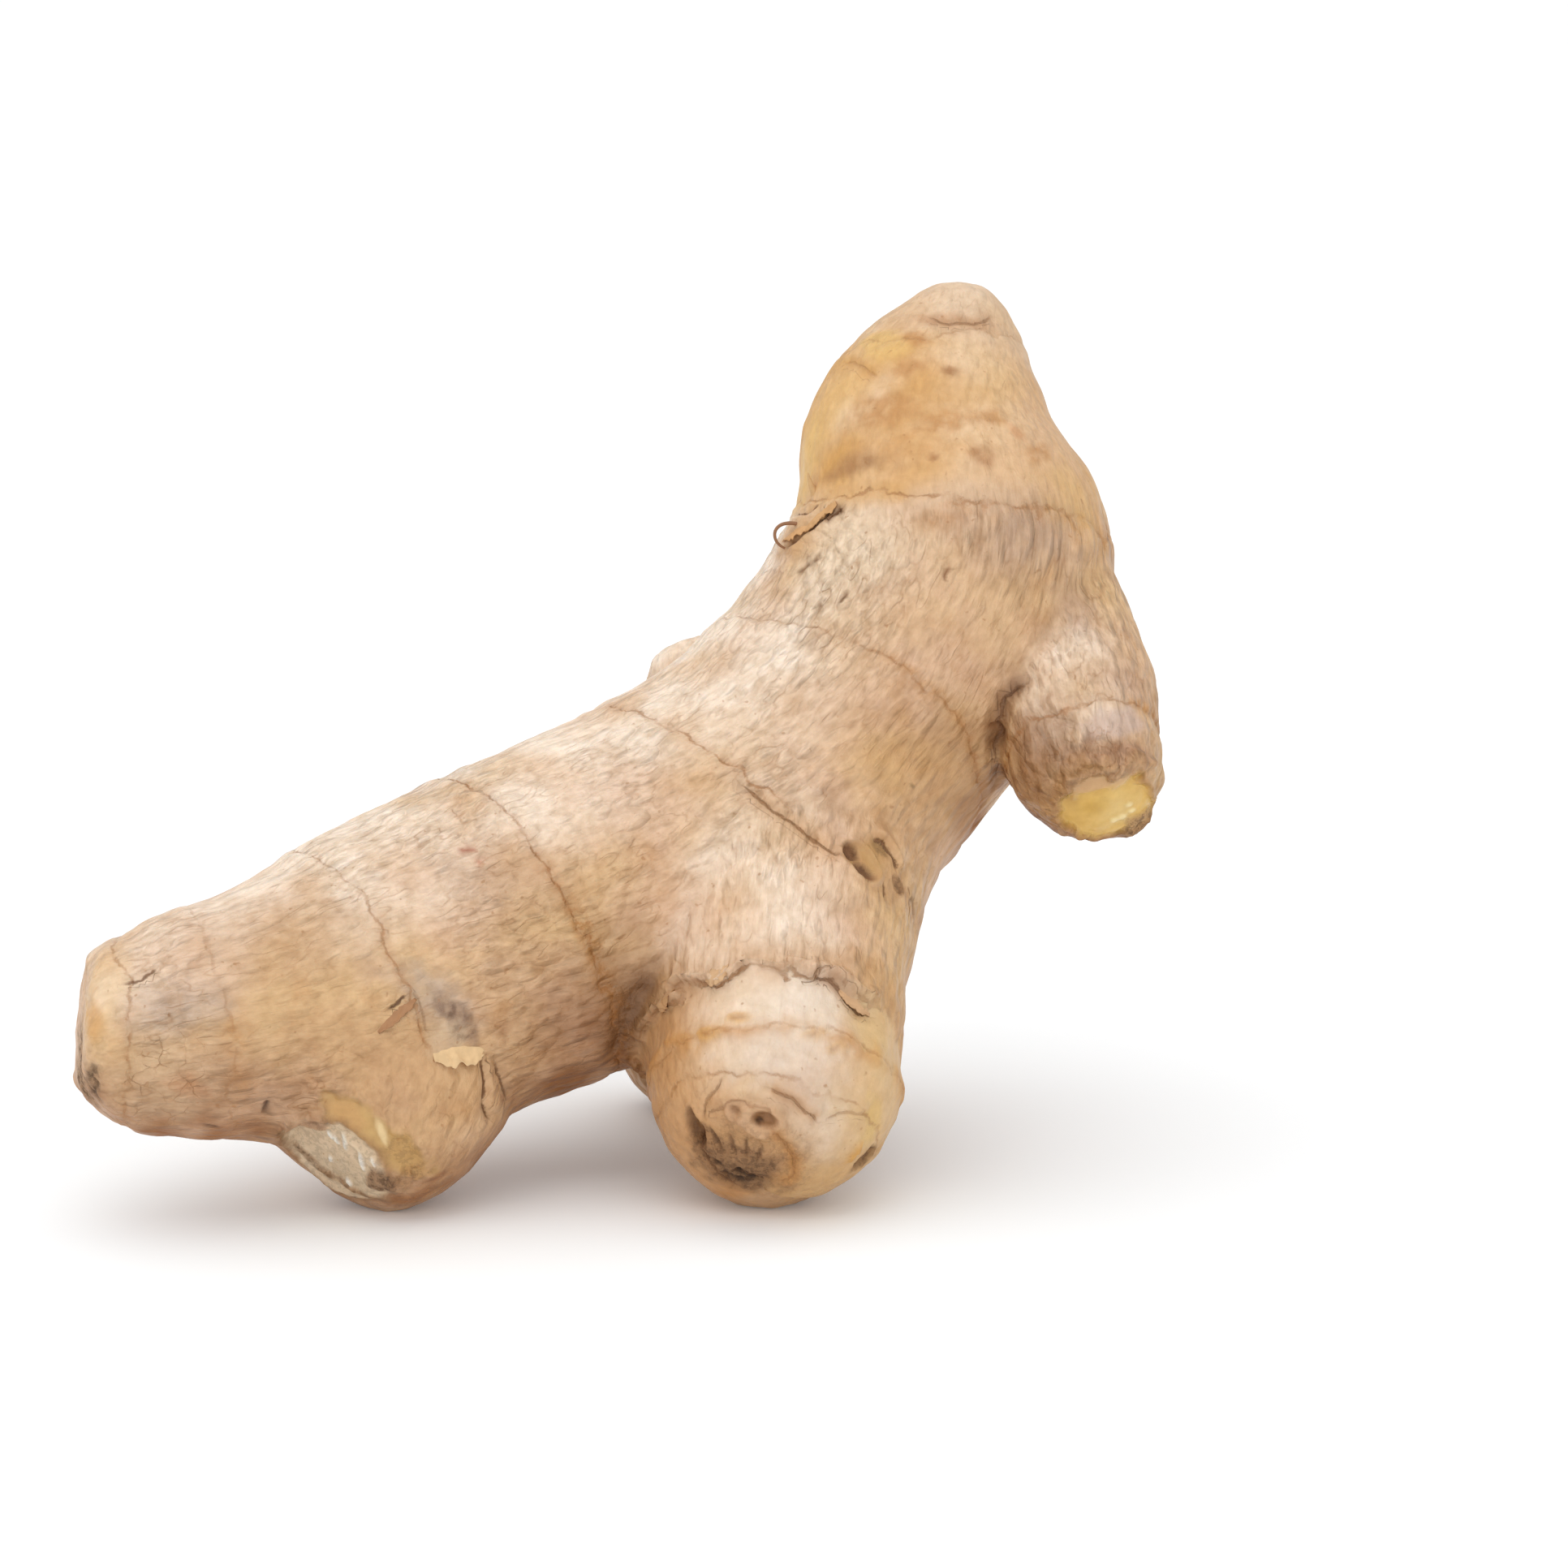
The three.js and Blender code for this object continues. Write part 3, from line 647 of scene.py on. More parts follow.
addSpot((76, 57, 82.5), (6, 2), 5, (208, 154, 92), 0.5, 0.8, 0.4, mottle=0.5)
conePatches = [
    ((73.5, 63, 86), 4.5), ((79, 60, 84.5), 3.4), ((84, 60, 86), 2.6), ((76.5, 66, 90.6), 2.6),
    ((87.5, 62, 80), 2.4),
]
for patch in conePatches:
    addSpot(patch[0], (patch[1], 0.5 * patch[1]), 10, (194, 138, 82), 0.65, 0.6, 0.5, mottle=0.6)
addSpot((79.5, 74.5, 95.2), (4.5, 1), 6, (196, 144, 98), 0.6, 0.6, 0.5, mottle=0.4)
addSpot((80, 65.9, 90.4), (0.8, 0.6), 0, (160, 104, 56), 0.75, 0.6, 0.3)
addSpot((83, 55.8, 81.1), (1.5, 1.6), 30, (176, 122, 76), 0.7, 0.6, 0.4, mottle=0.3, rim=0.15)
addSpot((78.4, 55.5, 81.1), (0.6, 0.5), 0, (166, 108, 58), 0.75, 0.6, 0.3)
addSpot((86.1, 61.4, 83.4), (0.8, 1.2), 20, (206, 142, 94), 0.5, 0.6, 0.3)
addSpot((92.2, 62.4, 75.2), (3, 5.5), 20, (224, 182, 122), 0.6, 0.6, 0.3, smooth=0.4)
addSpot((89.5, 57, 76.5), (3, 4), 20, (224, 182, 122), 0.45, 0.7, 0.4, mottle=0.3)
addSpot((83.5, 53, 76), (7, 2.5), 0, (226, 196, 168), 0.5, 0.8, 0.3)
addSpot((86.5, 52.1, 72.3), (5.5, 3.8), 0, (190, 160, 142), 0.65, 0.8, 0.35, mottle=0.25)
addSpot((91.7, 53.8, 63.7), (2.6, 4.6), 0, (186, 152, 132), 0.55, 0.8, 0.35, mottle=0.3)
addSpot((79, 50.8, 74.3), (3.4, 1.3), 12, (190, 134, 78), 0.6, 0.7, 0.5, mottle=0.4)
addSpot((79.5, 48.2, 68.4), (0.3, 1.3), -12, (140, 90, 50), 0.85, 0.5, 0.3, lift=-0.2)
addSpot((71.5, 55, 69), (8, 5), 20, (240, 214, 176), 0.4, 0.8, 0.3)
addLine([(78.3, 75, 95.5), (80, 73.4, 95.2), (82.6, 74, 95.7), (84.7, 78, 95.6)], 0.4, 0.3, 0.55,
        (176, 122, 74), 0.5, 1.2, softness=0.5)
addSpot((80.6, 80, 98), (3.6, 4), 0, (236, 210, 182), 0.5, 0.8, 0.2, lift=0.7)
addSpot((70.5, 76, 90.5), (8, 9), -24, soft=0.8, wobble=0, lift=1)
addSpot((87.5, 76, 90), (6, 10), 20, soft=0.8, wobble=0, lift=-0.4)

# dry root scars on the cone's left flank
addSpot((65.5, 61.5, 72), (4, 3.6), 20, (208, 158, 98), 0.6, 0.5, 0.3, lift=0.2, smooth=0.4)
addLine([(67.6, 56, 76.4), (66.3, 58, 73.5), (65, 61.5, 70)], 0.5, 0.5, 0.9, (128, 82, 46), 0.7, 0.6, lip=0.4)
addLine([(66.8, 60, 76), (65.3, 62, 74.8), (64.3, 66, 74.4)], 0.45, 0.4, 0.8, lip=0.3)
addLine([(68.2, 55, 76.5), (67.4, 56, 74.5)], 0.5, 0.5, 1, (112, 70, 36), 0.8, 0.7)
for slit in [(67.3, 54.6, 69.3), (66.4, 56, 68), (68.4, 51.5, 63.5), (70.2, 50.2, 65.2)]:
    addSpot(slit, (0.35, 0.9), -35, (132, 88, 46), 0.85, 0.5, 0.3, lift=-0.25)

# the side knob
addSpot((94.5, 40.4, 52.3), (4.6, 1.8), 6, (214, 188, 174), 0.8, 0.35, 0.4, smooth=0.3, lift=-0.25, rim=0.15)
addSpot((94.4, 37.7, 48.6), (5.5, 1.5), 4, (212, 174, 148), 0.5, 0.6, 0.3, lift=0.5)
addSpot((94, 40, 48.6), (6, 1.7), -4, (176, 128, 92), 0.6, 0.7, 0.3)
addSpot((93.6, 38.9, 43.6), (7.2, 5.6), -8, (196, 150, 98), 0.8, 0.15, 0.25, lift=0.25, rim=0.4,
        rimWidth=0.12)
addSpot((94.8, 39.8, 42.2), (6, 4.8), -8, (222, 180, 98), 0.97, 0.08, 0.28, lift=-0.8, smooth=1, wetness=1)
addSpot((95.4, 40.4, 42), (2.6, 2.8), 0, (230, 200, 134), 0.6, 0.8, 0.4, wetness=1, mottle=0.3)
addSpot((93, 39, 42.8), (1.5, 1.2), 0, (204, 160, 66), 0.5, 0.8, 0.4, wetness=1)
for glint in [(96.4, 40.4, 42.6), (97, 41, 41.4), (95.2, 40.6, 40.4), (96, 41, 40.6)]:
    addSpot(glint, (0.5, 0.4), 0, (246, 226, 170), 0.8, 0.5, 0.3, lift=0.2, wetness=1)
addSpot((93.4, 38.4, 46.4), (4.6, 1.3), 14, (204, 164, 126), 0.8, 0.3, 0.45, lift=0.7, rim=0.2)
addSpot((97, 45, 40), (1.9, 2.1), 0, (186, 146, 104), 0.9, 0.3, 0.4, lift=0.5, crusty=0.7)
# painted shade: the crease where the side knob leaves the body is painted dark brown
addLine([(86.6, 45, 57.5), (84.6, 47.9, 54.2), (84.1, 49.5, 48.9), (84.4, 56.2, 43.4)], 0.7, 0.9, 0.6,
        (126, 82, 48), 0.75, 1.1, softness=0.1)
addSpot((88.5, 43, 48.5), (5, 5), -20, (156, 110, 74), 0.75, 0.7, 0.3)
addLine([(87, 43.6, 52), (88.6, 41.5, 49.6), (90.6, 39.2, 47.8)], 0.7, 0.4, 0.25, lip=0.45, softness=0.6)
addLine([(87.4, 44, 54.5), (89.4, 42.5, 52.8), (91.4, 40.4, 51.8)], 0.8, 0.4, 0.2, lip=0.45, softness=0.6)
addLine([(86.4, 44, 50), (87.2, 44.4, 47), (88.4, 43, 44.6)], 0.7, 0.4, 0.25, lip=0.4, softness=0.4)

# the back
addSpot((56.5, 95, 10), (5, 5), 0, (164, 122, 84), 0.75, 0.4, 0.35, crusty=0.7, lift=-0.25, netting=1)
addSpot((56, 97, 12.5), (1.9, 1.5), 10, (206, 164, 124), 0.85, 0.2, 0.2, lift=0.7, rim=0.3)
addSpot((56.1, 97, 12.3), (0.9, 0.6), 10, (136, 96, 62), 0.85, 0.3, 0.2, lift=-0.6)
addSpot((56.2, 92, 52), (3.4, 3), 0, (204, 160, 112), 0.7, 0.4, 0.25, lift=-0.15, crusty=0.2)
addSpot((56.2, 93, 52.6), (1.4, 1.1), 0, (150, 108, 70), 0.85, 0.3, 0.2, lift=-0.5, rim=0.3, crusty=0.4)
addSpot((79, 92, 62), (3, 2), 20, (198, 152, 100), 0.7, 0.3, 0.2, smooth=0.5, rim=0.35)
addSpot((79, 92.5, 62), (1.2, 0.9), 20, (134, 94, 62), 0.9, 0.25, 0.15, lift=-0.6, crusty=0.5)
addSpot((36, 63, 34), (2.6, 1.8), -20, (196, 150, 100), 0.7, 0.3, 0.3, smooth=0.4, rim=0.3)
addSpot((36, 63.5, 34), (1, 0.8), -20, (136, 98, 66), 0.9, 0.25, 0.15, lift=-0.5, crusty=0.5)
addSpot((18, 40, 26), (4, 3), 0, (206, 166, 116), 0.5, 0.6, 0.4, mottle=0.4)
addSpot((68, 86, 88), (7, 8), 0, (222, 176, 112), 0.5, 0.7, 0.3, mottle=0.2)
addLine([(68, 78, 60), (70, 80, 55), (72, 79, 50)], 0.4, 0.3, 0.6, lip=0.3, softness=0.4)
addLine([(50, 78, 24), (49, 76, 19), (48.5, 76, 14)], 0.4, 0.35, 0.7, lip=0.3, softness=0.5)
slits = [
    (61, 92, 25), (52, 90, 30), (62, 86, 36), (84, 84, 76), (76, 90, 80), (28, 50, 32), (44, 68, 38),
]
for slit in slits:
    addSpot(slit, (0.35, 1), 15, (132, 88, 50), 0.85, 0.5, 0.3, lift=-0.25)

# moving the skin
onSideKnob = np.where(branchIndex == branchNames.index("sideKnob"), onBranch, 0)
wrinkle = wrinkle + 0.35 * onSideKnob * wrinkle
wrinkleNoise = grainNoise(pebblesAt, relief["wrinkleSize"], 7.7)
foldNoise = grainNoise(noiseAt, relief["foldSize"], 17.7)
height += wrinkle * (relief["wrinkle"] * wrinkleNoise + relief["fold"] * foldNoise)
height += 0.45 * crust * noiseAt(places, [1.1] * 3, 33.3, 2)
height *= easeStep(-0.6, 1.6, places[:, 2])  # the pressed spots stay on the table
lowestMm, highestMm = np.array(cadLow) / mm, np.array(cadHigh) / mm
moved = places + normals * height[:, None]
allowance = np.array([1.5, 1.2, 1.5])  # how far the skin may pass the solid's box
moved = np.clip(moved, lowestMm - allowance * (1, 1, 0), highestMm + allowance)
skin.data.vertices.foreach_set("co", (moved * mm).ravel())
skin.data.polygons.foreach_set("use_smooth", [True] * len(skin.data.polygons))
skin.data.update()


def saveField(piece, name, kind, values):
    field = piece.data.attributes.new(name, kind, "POINT")
    key = {"FLOAT": "value", "FLOAT_VECTOR": "vector", "FLOAT_COLOR": "color"}[kind]
    field.data.foreach_set(key, np.asarray(values, np.float32).ravel())


saveField(skin, "spineGrain", "FLOAT_VECTOR", spineGrain)
saveField(skin, "branchGrain", "FLOAT_VECTOR", branchGrain)
saveField(skin, "rings", "FLOAT_COLOR",
        np.column_stack([spineRing, spineStrength, branchRing, branchStrength]))
saveField(skin, "tint", "FLOAT_COLOR", tint)
saveField(skin, "finish", "FLOAT_COLOR", np.column_stack([crust, wet, wrinkle, netted]))
saveField(skin, "cracks", "FLOAT_COLOR", np.column_stack([crack, crackCover, onBranch, crackSoft]))


print("finish")


def node(tree, kind, inputs=None, **settings):
    made = tree.nodes.new(kind)
    for name, value in settings.items():
        setattr(made, name, value)
    for key, value in (inputs or {}).items():
        if isinstance(value, bpy.types.NodeSocket):
            tree.links.new(value, made.inputs[key])
        else:
            made.inputs[key].default_value = value
    return made


def sums(tree, operation, first, second=None, third=None):
    given = {i: v for i, v in enumerate((first, second, third)) if v is not None}
    return node(tree, "ShaderNodeMath", given, operation=operation).outputs[0]


def times(tree, first, second):
    return sums(tree, "MULTIPLY", first, second)


def remap(tree, value, fromLow, fromHigh, toLow=0.0, toHigh=1.0):
    given = {"Value": value, "From Min": fromLow, "From Max": fromHigh, "To Min": toLow, "To Max": toHigh}
    return node(tree, "ShaderNodeMapRange", given, interpolation_type="LINEAR").outputs[0]


def blendColours(tree, share, first, second, kind="MIX"):
    first = (*first, 1) if isinstance(first, tuple) else first
    second = (*second, 1) if isinstance(second, tuple) else second
    made = node(tree, "ShaderNodeMix", {0: share, 6: first, 7: second}, data_type="RGBA", blend_type=kind)
    return made.outputs[2]


def blendValues(tree, share, first, second):
    return node(tree, "ShaderNodeMix", {0: share, 2: first, 3: second}).outputs[0]


def grainPattern(tree, fields, size, puffy=False, detail=2.0):
    # a pattern drawn out along the fingers, from the spine's and the branches' own grain
    values = []
    for grain in ("spineGrain", "branchGrain"):
        scaled = node(tree, "ShaderNodeVectorMath", {0: fields[grain], 1: size},
                operation="DIVIDE").outputs[0]
        bend = node(tree, "ShaderNodeTexNoise", {"Vector": scaled, "Scale": 0.8, "Detail": 1.0}).outputs[1]
        given = {0: bend, 1: (0.9, 0.9, 0.9), 2: scaled}
        bent = node(tree, "ShaderNodeVectorMath", given, operation="MULTIPLY_ADD").outputs[0]
        if puffy:
            given = {"Vector": bent, "Scale": 1.0, "Smoothness": 0.35, "Randomness": 1.0}
            made = node(tree, "ShaderNodeTexVoronoi", given, feature="SMOOTH_F1")
        else:
            given = {"Vector": bent, "Scale": 1.0, "Detail": detail, "Roughness": 0.5}
            made = node(tree, "ShaderNodeTexNoise", given)
        values.append(made.outputs[0])
    return blendValues(tree, fields["onBranch"], values[0], values[1])


def speckle(tree, position, size, detail=2.0, roughness=0.5):
    given = {"Vector": position, "Scale": 1 / (size * mm), "Detail": detail, "Roughness": roughness}
    return node(tree, "ShaderNodeTexNoise", given).outputs[0]


finish = {
    "pink": linear(230, 191, 160), "cream": linear(231, 193, 145), "tan": linear(202, 150, 98),
    "mauve": linear(202, 168, 142), "valley": linear(178, 128, 84), "ring": linear(158, 106, 60),
    "ringFringe": linear(196, 140, 80), "crack": linear(92, 58, 34), "softCrack": linear(168, 118, 74),
    "dark": linear(74, 50, 32), "creaseShadeAndTone": (0.52, 0.43, 0.32),
    "roughness": 0.5, "wetRoughness": 0.16, "crustRoughness": 0.9, "netCell": 2.2, "netBend": 1.6,
}


bumps = {  # millimetres that each pattern stands up, or down
    "puffs": 0.9, "creases": 0.45, "valley": -0.08, "streaks": 0.12, "pores": 0.05, "crumbs": 0.6,
    "ringMask": -0.12, "ringFringe": 0.3, "crackMask": -0.22, "netMask": -0.12,
}


def readFields(tree):
    fields = {}
    for name in ("spineGrain", "branchGrain"):
        fields[name] = node(tree, "ShaderNodeAttribute", attribute_name=name).outputs["Vector"]
    for name, parts in {
        "rings": ("spineRing", "spineStrength", "branchRing", "branchStrength"),
        "finish": ("crust", "wet", "wrinkle", "netted"),
        "cracks": ("crack", "crackCover", "onBranch", "crackSoft"),
    }.items():
        read = node(tree, "ShaderNodeAttribute", attribute_name=name)
        split = node(tree, "ShaderNodeSeparateColor", {0: read.outputs["Color"]})
        for part, socket in zip(parts, (*split.outputs, read.outputs["Alpha"])):
            fields[part] = socket
    read = node(tree, "ShaderNodeAttribute", attribute_name="tint")
    fields["tint"], fields["tintCover"] = read.outputs["Color"], read.outputs["Alpha"]
    fields["position"] = node(tree, "ShaderNodeTexCoord").outputs["Object"]
    return fields


def ringLine(tree, fields, ring, strength, jitter):
    moved = sums(tree, "ADD", fields[ring], jitter)
    distance = sums(tree, "ABSOLUTE", moved)
    line = times(tree, remap(tree, distance, 0.32, 0.06), fields[strength])
    fringe = times(tree, remap(tree, distance, 1.7, 0.1), fields[strength])
    return line, fringe


def makeSkinFinish():
    material = bpy.data.materials.new("gingerSkinFinish")
    material.use_nodes = True
    tree = material.node_tree
    tree.nodes.clear()
    f = readFields(tree)
    position = f["position"]

    puffs = remap(tree, grainPattern(tree, f, (3.2, 1.6, 1.6), True), 0.75, 0.05)
    creases = grainPattern(tree, f, (2.6, 0.9, 0.9), False, 3.0)
    level = sums(tree, "SUBTRACT", grainPattern(tree, f, (5.0, 1.7, 1.7), False, 1.0), 0.5)
    valley = remap(tree, sums(tree, "ABSOLUTE", level), 0.045, 0.0)
    valley = times(tree, valley, remap(tree, speckle(tree, position, 5.0), 0.45, 0.6))
    streaks = grainPattern(tree, f, (5.0, 0.5, 0.5), False, 2.0)
    pores = speckle(tree, position, 0.45, 3.0, 0.6)
    crumbs = speckle(tree, position, 0.8, 4.0, 0.7)
    jitter = remap(tree, speckle(tree, position, 1.3, 4.0, 0.6), 0, 1, -0.75, 0.75)
    spineLine, spineFringe = ringLine(tree, f, "spineRing", "spineStrength", jitter)
    branchLine, branchFringe = ringLine(tree, f, "branchRing", "branchStrength", jitter)
    ringMask = sums(tree, "MAXIMUM", spineLine, branchLine)
    fringeMask = sums(tree, "MAXIMUM", spineFringe, branchFringe)
    broken = remap(tree, speckle(tree, position, 2.2), 0.38, 0.58, 0.25, 1.0)
    ringMask = times(tree, ringMask, broken)
    crackDistance = sums(tree, "ABSOLUTE", sums(tree, "ADD", f["crack"], times(tree, jitter, 0.5)))
    crackMask = times(tree, remap(tree, crackDistance, 0.26, 0.06), f["crackCover"])
    bend = node(tree, "ShaderNodeTexNoise", {"Vector": position, "Scale": 1 / (2.5 * mm),
            "Detail": 3.0}).outputs[1]
    given = {0: bend, 1: [finish["netBend"] * mm] * 3, 2: position}
    bent = node(tree, "ShaderNodeVectorMath", given, operation="MULTIPLY_ADD").outputs[0]
    given = {"Vector": bent, "Scale": 1 / (finish["netCell"] * mm), "Randomness": 1.0}
    net = node(tree, "ShaderNodeTexVoronoi", given, feature="DISTANCE_TO_EDGE").outputs[0]
    netMask = times(tree, remap(tree, net, 0.05, 0.0), f["netted"])
    netMask = times(tree, netMask, remap(tree, speckle(tree, position, 3.0), 0.42, 0.62))

    slow = speckle(tree, position, 19, 3.0, 0.5)
    mid = speckle(tree, position, 6, 4.0, 0.6)
    fine = speckle(tree, position, 1.3, 3.0, 0.6)
    colour = blendColours(tree, remap(tree, slow, 0.36, 0.64), finish["pink"], finish["cream"])
    colour = blendColours(tree, remap(tree, mid, 0.52, 0.78, 0.0, 0.75), colour, finish["tan"])
    colour = blendColours(tree, remap(tree, speckle(tree, position, 11, 4.0), 0.55, 0.75, 0.0, 0.6), colour,
            finish["mauve"])
    colour = blendColours(tree, times(tree, fringeMask, remap(tree, fine, 0.4, 0.58, 0.1, 1.0)), colour,
            finish["ringFringe"])
    notTinted = sums(tree, "SUBTRACT", 1.0, f["tintCover"])
    notTinted = node(tree, "ShaderNodeCombineColor", {0: notTinted, 1: notTinted, 2: notTinted}).outputs[0]
    kept = blendColours(tree, 1.0, colour, notTinted, "MULTIPLY")
    colour = blendColours(tree, 1.0, kept, f["tint"], "ADD")
    # painted shade: the thin valley lines are painted darker brown
    valleyShade = times(tree, valley, times(tree, f["wrinkle"], 0.42))
    colour = blendColours(tree, valleyShade, colour, finish["valley"])
    streakMask = times(tree, remap(tree, streaks, 0.56, 0.78, 0.0, 0.12), f["wrinkle"])
    colour = blendColours(tree, streakMask, colour, finish["tan"])
    # painted shade: the low parts of the creases and puffs are multiplied darker; a fine mottle darkens the
    # whole skin a little more
    creaseShadeAndTone = sums(tree, "ADD", remap(tree, creases, 0.6, 0.36, 0.0, 0.32),
            remap(tree, puffs, 0.5, 0.1, 0.0, 0.16))
    creaseShadeAndTone = sums(tree, "MULTIPLY_ADD", creaseShadeAndTone, f["wrinkle"], remap(tree, fine, 0.3, 0.7, 0.36, 0.12))
    colour = blendColours(tree, creaseShadeAndTone, colour, finish["creaseShadeAndTone"], "MULTIPLY")
    flecks = remap(tree, speckle(tree, position, 0.9, 1.0), 0.72, 0.8, 0.0, 0.5)
    colour = blendColours(tree, flecks, colour, finish["ring"])
    crustDark = times(tree, remap(tree, crumbs, 0.53, 0.43), f["crust"])
    colour = blendColours(tree, times(tree, crustDark, 0.75), colour, finish["dark"])
    colour = blendColours(tree, times(tree, netMask, 0.45), colour, finish["softCrack"])
    colour = blendColours(tree, times(tree, ringMask, 0.75), colour, finish["ring"])
    crackColour = blendColours(tree, f["crackSoft"], finish["crack"], finish["softCrack"])
    colour = blendColours(tree, times(tree, crackMask, 0.95), colour, crackColour)

    raised = {
        "puffs": times(tree, puffs, f["wrinkle"]), "creases": times(tree, creases, f["wrinkle"]),
        "valley": times(tree, valley, f["wrinkle"]), "streaks": times(tree, streaks, f["wrinkle"]),
        "pores": pores, "crumbs": times(tree, crumbs, f["crust"]), "ringMask": ringMask,
        "ringFringe": times(tree, fringeMask, fine), "crackMask": crackMask, "netMask": netMask,
    }
    total = 0.0
    for name, value in raised.items():
        total = sums(tree, "MULTIPLY_ADD", value, bumps[name], total)
    bump = node(tree, "ShaderNodeBump", {"Height": total, "Distance": mm, "Strength": 1.0})
    rough = remap(tree, f["wet"], 0, 1, finish["roughness"], finish["wetRoughness"])
    rough = remap(tree, f["crust"], 0, 1, rough, finish["crustRoughness"])
    shader = node(
        tree, "ShaderNodeBsdfPrincipled",
        {"Base Color": colour, "Roughness": rough, "Normal": bump.outputs[0], "Subsurface Weight": 0.12,
         "Subsurface Radius": (1.0, 0.5, 0.25), "Subsurface Scale": 0.0015, "Specular IOR Level": 0.38},
    )
    output = node(tree, "ShaderNodeOutputMaterial")
    tree.links.new(shader.outputs[0], output.inputs[0])
    return material


skinFinish = makeSkinFinish()
skin.data.materials.append(skinFinish)
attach(skin, "root")
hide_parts("ginger_rhizome")

print("loose skin")
skinSurface = BVHTree.FromPolygons([v.co for v in skin.data.vertices],
        [p.vertices for p in skin.data.polygons])
looseSkin = {  # place, half length and half width, turn, how far its lower edge stands off, and its colours
    "skinFlap": {"at": (35.5, 12.2, 19.1), "size": (3.4, 1.3), "turn": -2, "lift": 0.8,
            "colour": (230, 194, 146)},
    "bractSliver": {"at": (30, 9.2, 24), "size": (2.9, 0.6), "turn": 42, "lift": 0.6,
            "colour": (170, 124, 86)},
    "rootScarFlakeA": {"at": (67.6, 58.6, 74.4), "size": (2.6, 0.9), "turn": 42, "lift": 0.7,
            "colour": (206, 158, 106)},
    "rootScarFlakeB": {"at": (65.4, 61.4, 72), "size": (2.2, 0.8), "turn": 30, "lift": 0.6,
            "colour": (210, 160, 108)},
    "tearFlakeA": {"at": (58.2, 15.4, 26.6), "size": (1.5, 0.5), "turn": 26, "lift": 0.35,
            "colour": (208, 168, 126)},
    "tearFlakeB": {"at": (53.4, 21.5, 23.2), "size": (1.7, 0.6), "turn": 48, "lift": 0.4,
            "colour": (190, 146, 102)},
    "tearFlakeC": {"at": (70.8, 15.6, 24), "size": (2.4, 0.6), "turn": -40, "lift": 0.35,
            "colour": (206, 164, 122)},
}
sheet = {
    "cellsLong": 26, "cellsAcross": 8, "thickness": 0.16, "overlap": 0.1, "ragged": 0.5, "taper": 0.55,
    "above": 4,  # millimetres over the skin from which a flake is laid down on it
}


def makePlainFinish(name, colour, roughness):
    material = bpy.data.materials.new(name)
    material.use_nodes = True
    tree = material.node_tree
    shader = tree.nodes["Principled BSDF"]
    position = node(tree, "ShaderNodeTexCoord").outputs["Object"]
    share = remap(tree, speckle(tree, position, 0.9, 3.0), 0.35, 0.65, 0.0, 0.5)
    darker = tuple(c * 0.75 for c in linear(*colour))
    tree.links.new(blendColours(tree, share, linear(*colour), darker), shader.inputs["Base Color"])
    shader.inputs["Roughness"].default_value = roughness
    shader.inputs["Specular IOR Level"].default_value = 0.4
    return material


def addPiece(piece):
    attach(piece, "root")


def addSheet(name, piece):
    # a flake that lies on the skin along its top edge and stands off along its lower one
    centre, out = skinSurface.find_nearest(spot(*piece["at"]))[:2]
    right = Vector((0, 0, 1)).cross(out).normalized()
    right.rotate(Quaternion(out, math.radians(piece["turn"])))
    up = out.cross(right)
    bm = bmesh.new()
    bmesh.ops.create_grid(bm, x_segments=sheet["cellsLong"], y_segments=sheet["cellsAcross"], size=1)
    for vert in bm.verts:
        u, v = vert.co.x, vert.co.y
        taper = 1 - sheet["taper"] * u * u
        edge = sheet["ragged"] * noise.noise(Vector((u * 4.6, v * 1.2, centre.x * 900)))
        across = (v * taper + (edge if v < 0 else 0.3 * edge)) * piece["size"][1] * mm
        start = centre + right * (u * piece["size"][0] * mm) + up * across + out * sheet["above"] * mm
        hit, normal = skinSurface.ray_cast(start, -out)[:2]
        if hit is None:
            hit, normal = skinSurface.find_nearest(start)[:2]
        free = (1 - v) / 2
        stand = piece["lift"] * free**1.6 * (0.7 + 0.3 * math.cos(u * 2.5)) - sheet["overlap"] * (1 - free)
        vert.co = hit + (normal * 0.6 + out * 0.4) * (stand + 0.02) * mm
    bmesh.ops.solidify(bm, geom=bm.faces[:], thickness=sheet["thickness"] * mm)
    bmesh.ops.recalc_face_normals(bm, faces=bm.faces)
    mesh = bpy.data.meshes.new(name)
    bm.to_mesh(mesh)
    bm.free()
    mesh.polygons.foreach_set("use_smooth", [True] * len(mesh.polygons))
    mesh.materials.append(makePlainFinish(name + "Finish", piece["colour"], 0.6))
    flake = bpy.data.objects.new(name, mesh)
    bpy.context.scene.collection.objects.link(flake)
    addPiece(flake)


def addThread(name, points, radii, colour):
    # a dry fibre that grows out of the skin
    data = bpy.data.curves.new(name, "CURVE")
    data.dimensions = "3D"
    data.bevel_depth = mm
    data.bevel_resolution = 3
    data.use_fill_caps = True
    line = data.splines.new("NURBS")
    line.points.add(len(points) - 1)
    for point, place, radius in zip(line.points, points, radii):
        point.co = (*place, 1)
        point.radius = radius
    line.use_endpoint_u = True
    line.order_u = 4
    data.materials.append(makePlainFinish(name + "Finish", colour, 0.6))
    thread = bpy.data.objects.new(name, data)
    bpy.context.scene.collection.objects.link(thread)
    addPiece(thread)


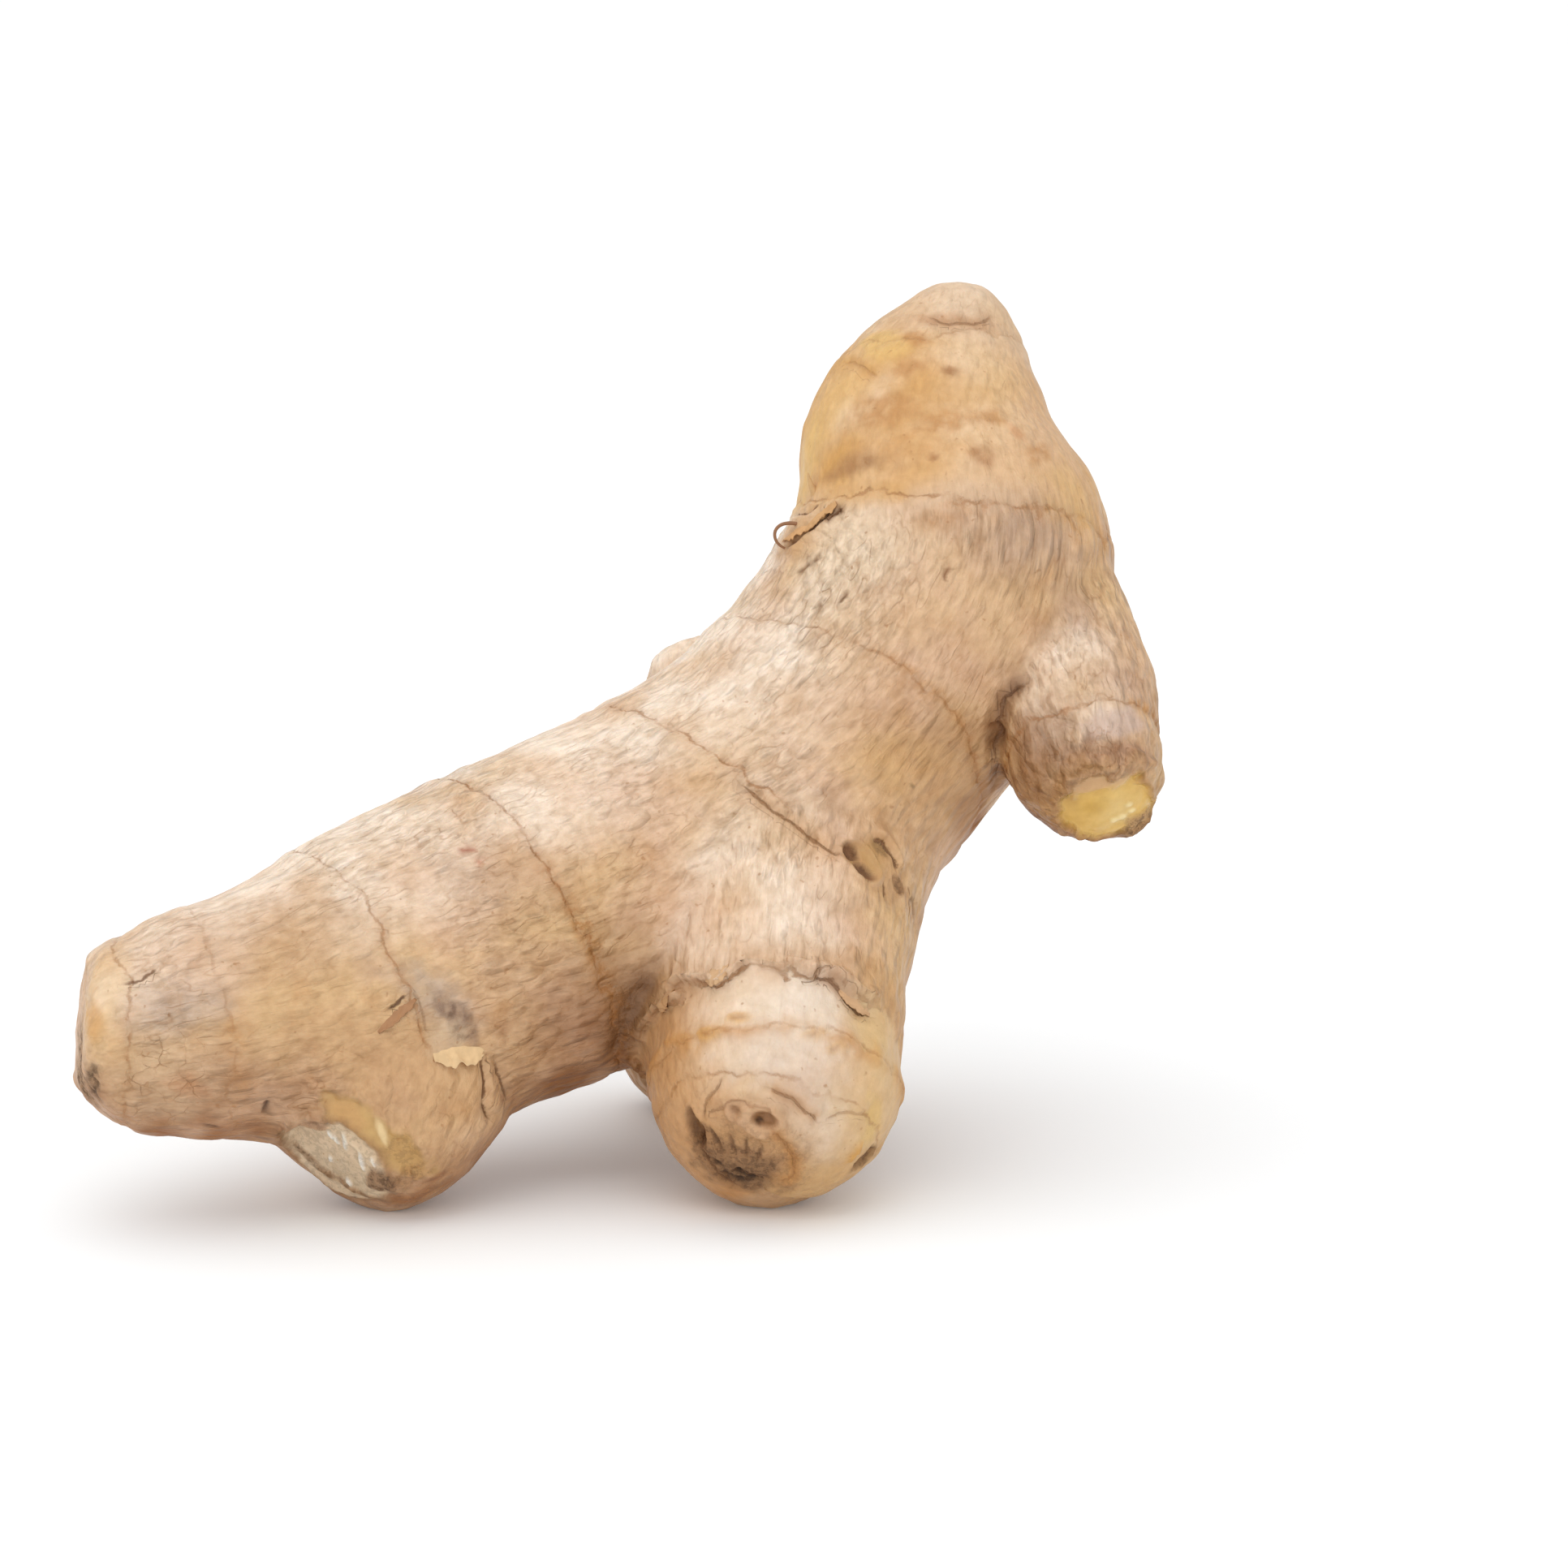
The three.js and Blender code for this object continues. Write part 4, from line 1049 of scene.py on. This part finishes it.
for name, piece in looseSkin.items():
    addSheet(name, piece)
rootletFoot = skinSurface.find_nearest(spot(64.5, 62, 72.3))[0]
rootletWay = [(1, 0, 1), (-0.6, -0.2, 1.3), (-1.9, -0.6, 0.9), (-2.4, -0.8, -0.4), (-1.7, -0.8, -1.7),
        (-0.4, -0.3, -2.2)]
addThread(
    "dryRootlet", [rootletFoot + Vector(step) * mm for step in rootletWay],
    [0.26, 0.24, 0.22, 0.2, 0.18, 0.12],
    (150, 108, 78),
)
spikeFoot = skinSurface.find_nearest(spot(65.8, 64, 77.5))[0]
spikeWay = [(1, 0, -2.4), (0.2, 0, -1), (-0.6, -0.1, 0.6), (-0.8, -0.1, 2)]
addThread("skinSpike", [spikeFoot + Vector(step) * mm for step in spikeWay], [0.7, 0.6, 0.35, 0.08],
        (206, 166, 116))

print("table and light")
# The table gives off a little light of its own, which keeps its shadow pale.
studio = {
    "tableSize": 40.0, "tableColour": (0.93, 0.945, 0.955), "seen": 1.02, "glow": 0.64, "tableGlow": 0.07,
    "key": {"from": (-0.24, 0.02, 0.95), "spread": 80, "strength": 1.2},
    "front": {"from": (0.1, -0.9, 0.5), "spread": 80, "strength": 0.8},
}


def makeTable():
    bm = bmesh.new()
    bmesh.ops.create_grid(bm, x_segments=2, y_segments=2, size=studio["tableSize"] / 2)
    bmesh.ops.translate(bm, verts=bm.verts, vec=(0, 0, cadLow.z))
    mesh = bpy.data.meshes.new("table")
    bm.to_mesh(mesh)
    bm.free()
    table = bpy.data.objects.new("table", mesh)
    bpy.context.scene.collection.objects.link(table)
    material = bpy.data.materials.new("tableFinish")
    material.use_nodes = True
    shader = material.node_tree.nodes["Principled BSDF"]
    shader.inputs["Base Color"].default_value = (*studio["tableColour"], 1)
    shader.inputs["Roughness"].default_value = 0.6
    shader.inputs["Specular IOR Level"].default_value = 0.2
    shader.inputs["Emission Color"].default_value = (1, 1, 1, 1)
    shader.inputs["Emission Strength"].default_value = studio["tableGlow"]
    mesh.materials.append(material)


def addLight(name, place):
    data = bpy.data.lights.new(name, "SUN")
    data.angle = math.radians(place["spread"])
    data.energy = place["strength"]
    light = bpy.data.objects.new(name, data)
    light.rotation_euler = Vector(place["from"]).to_track_quat("Z", "Y").to_euler()
    bpy.context.scene.collection.objects.link(light)


def makeWhiteRoom():
    # seen as white, and giving less light than that, so that the skin keeps its shading
    world = bpy.data.worlds.new("whiteRoom")
    bpy.context.scene.world = world
    world.use_nodes = True
    tree = world.node_tree
    seenDirectly = node(tree, "ShaderNodeLightPath").outputs["Is Camera Ray"]
    strength = blendValues(tree, seenDirectly, studio["glow"], studio["seen"])
    background = tree.nodes["Background"]
    background.inputs["Color"].default_value = (1, 1, 1, 1)
    tree.links.new(strength, background.inputs["Strength"])


makeTable()
addLight("keyLight", studio["key"])
addLight("frontLight", studio["front"])
makeWhiteRoom()
bpy.context.scene.view_settings.view_transform = "Standard"
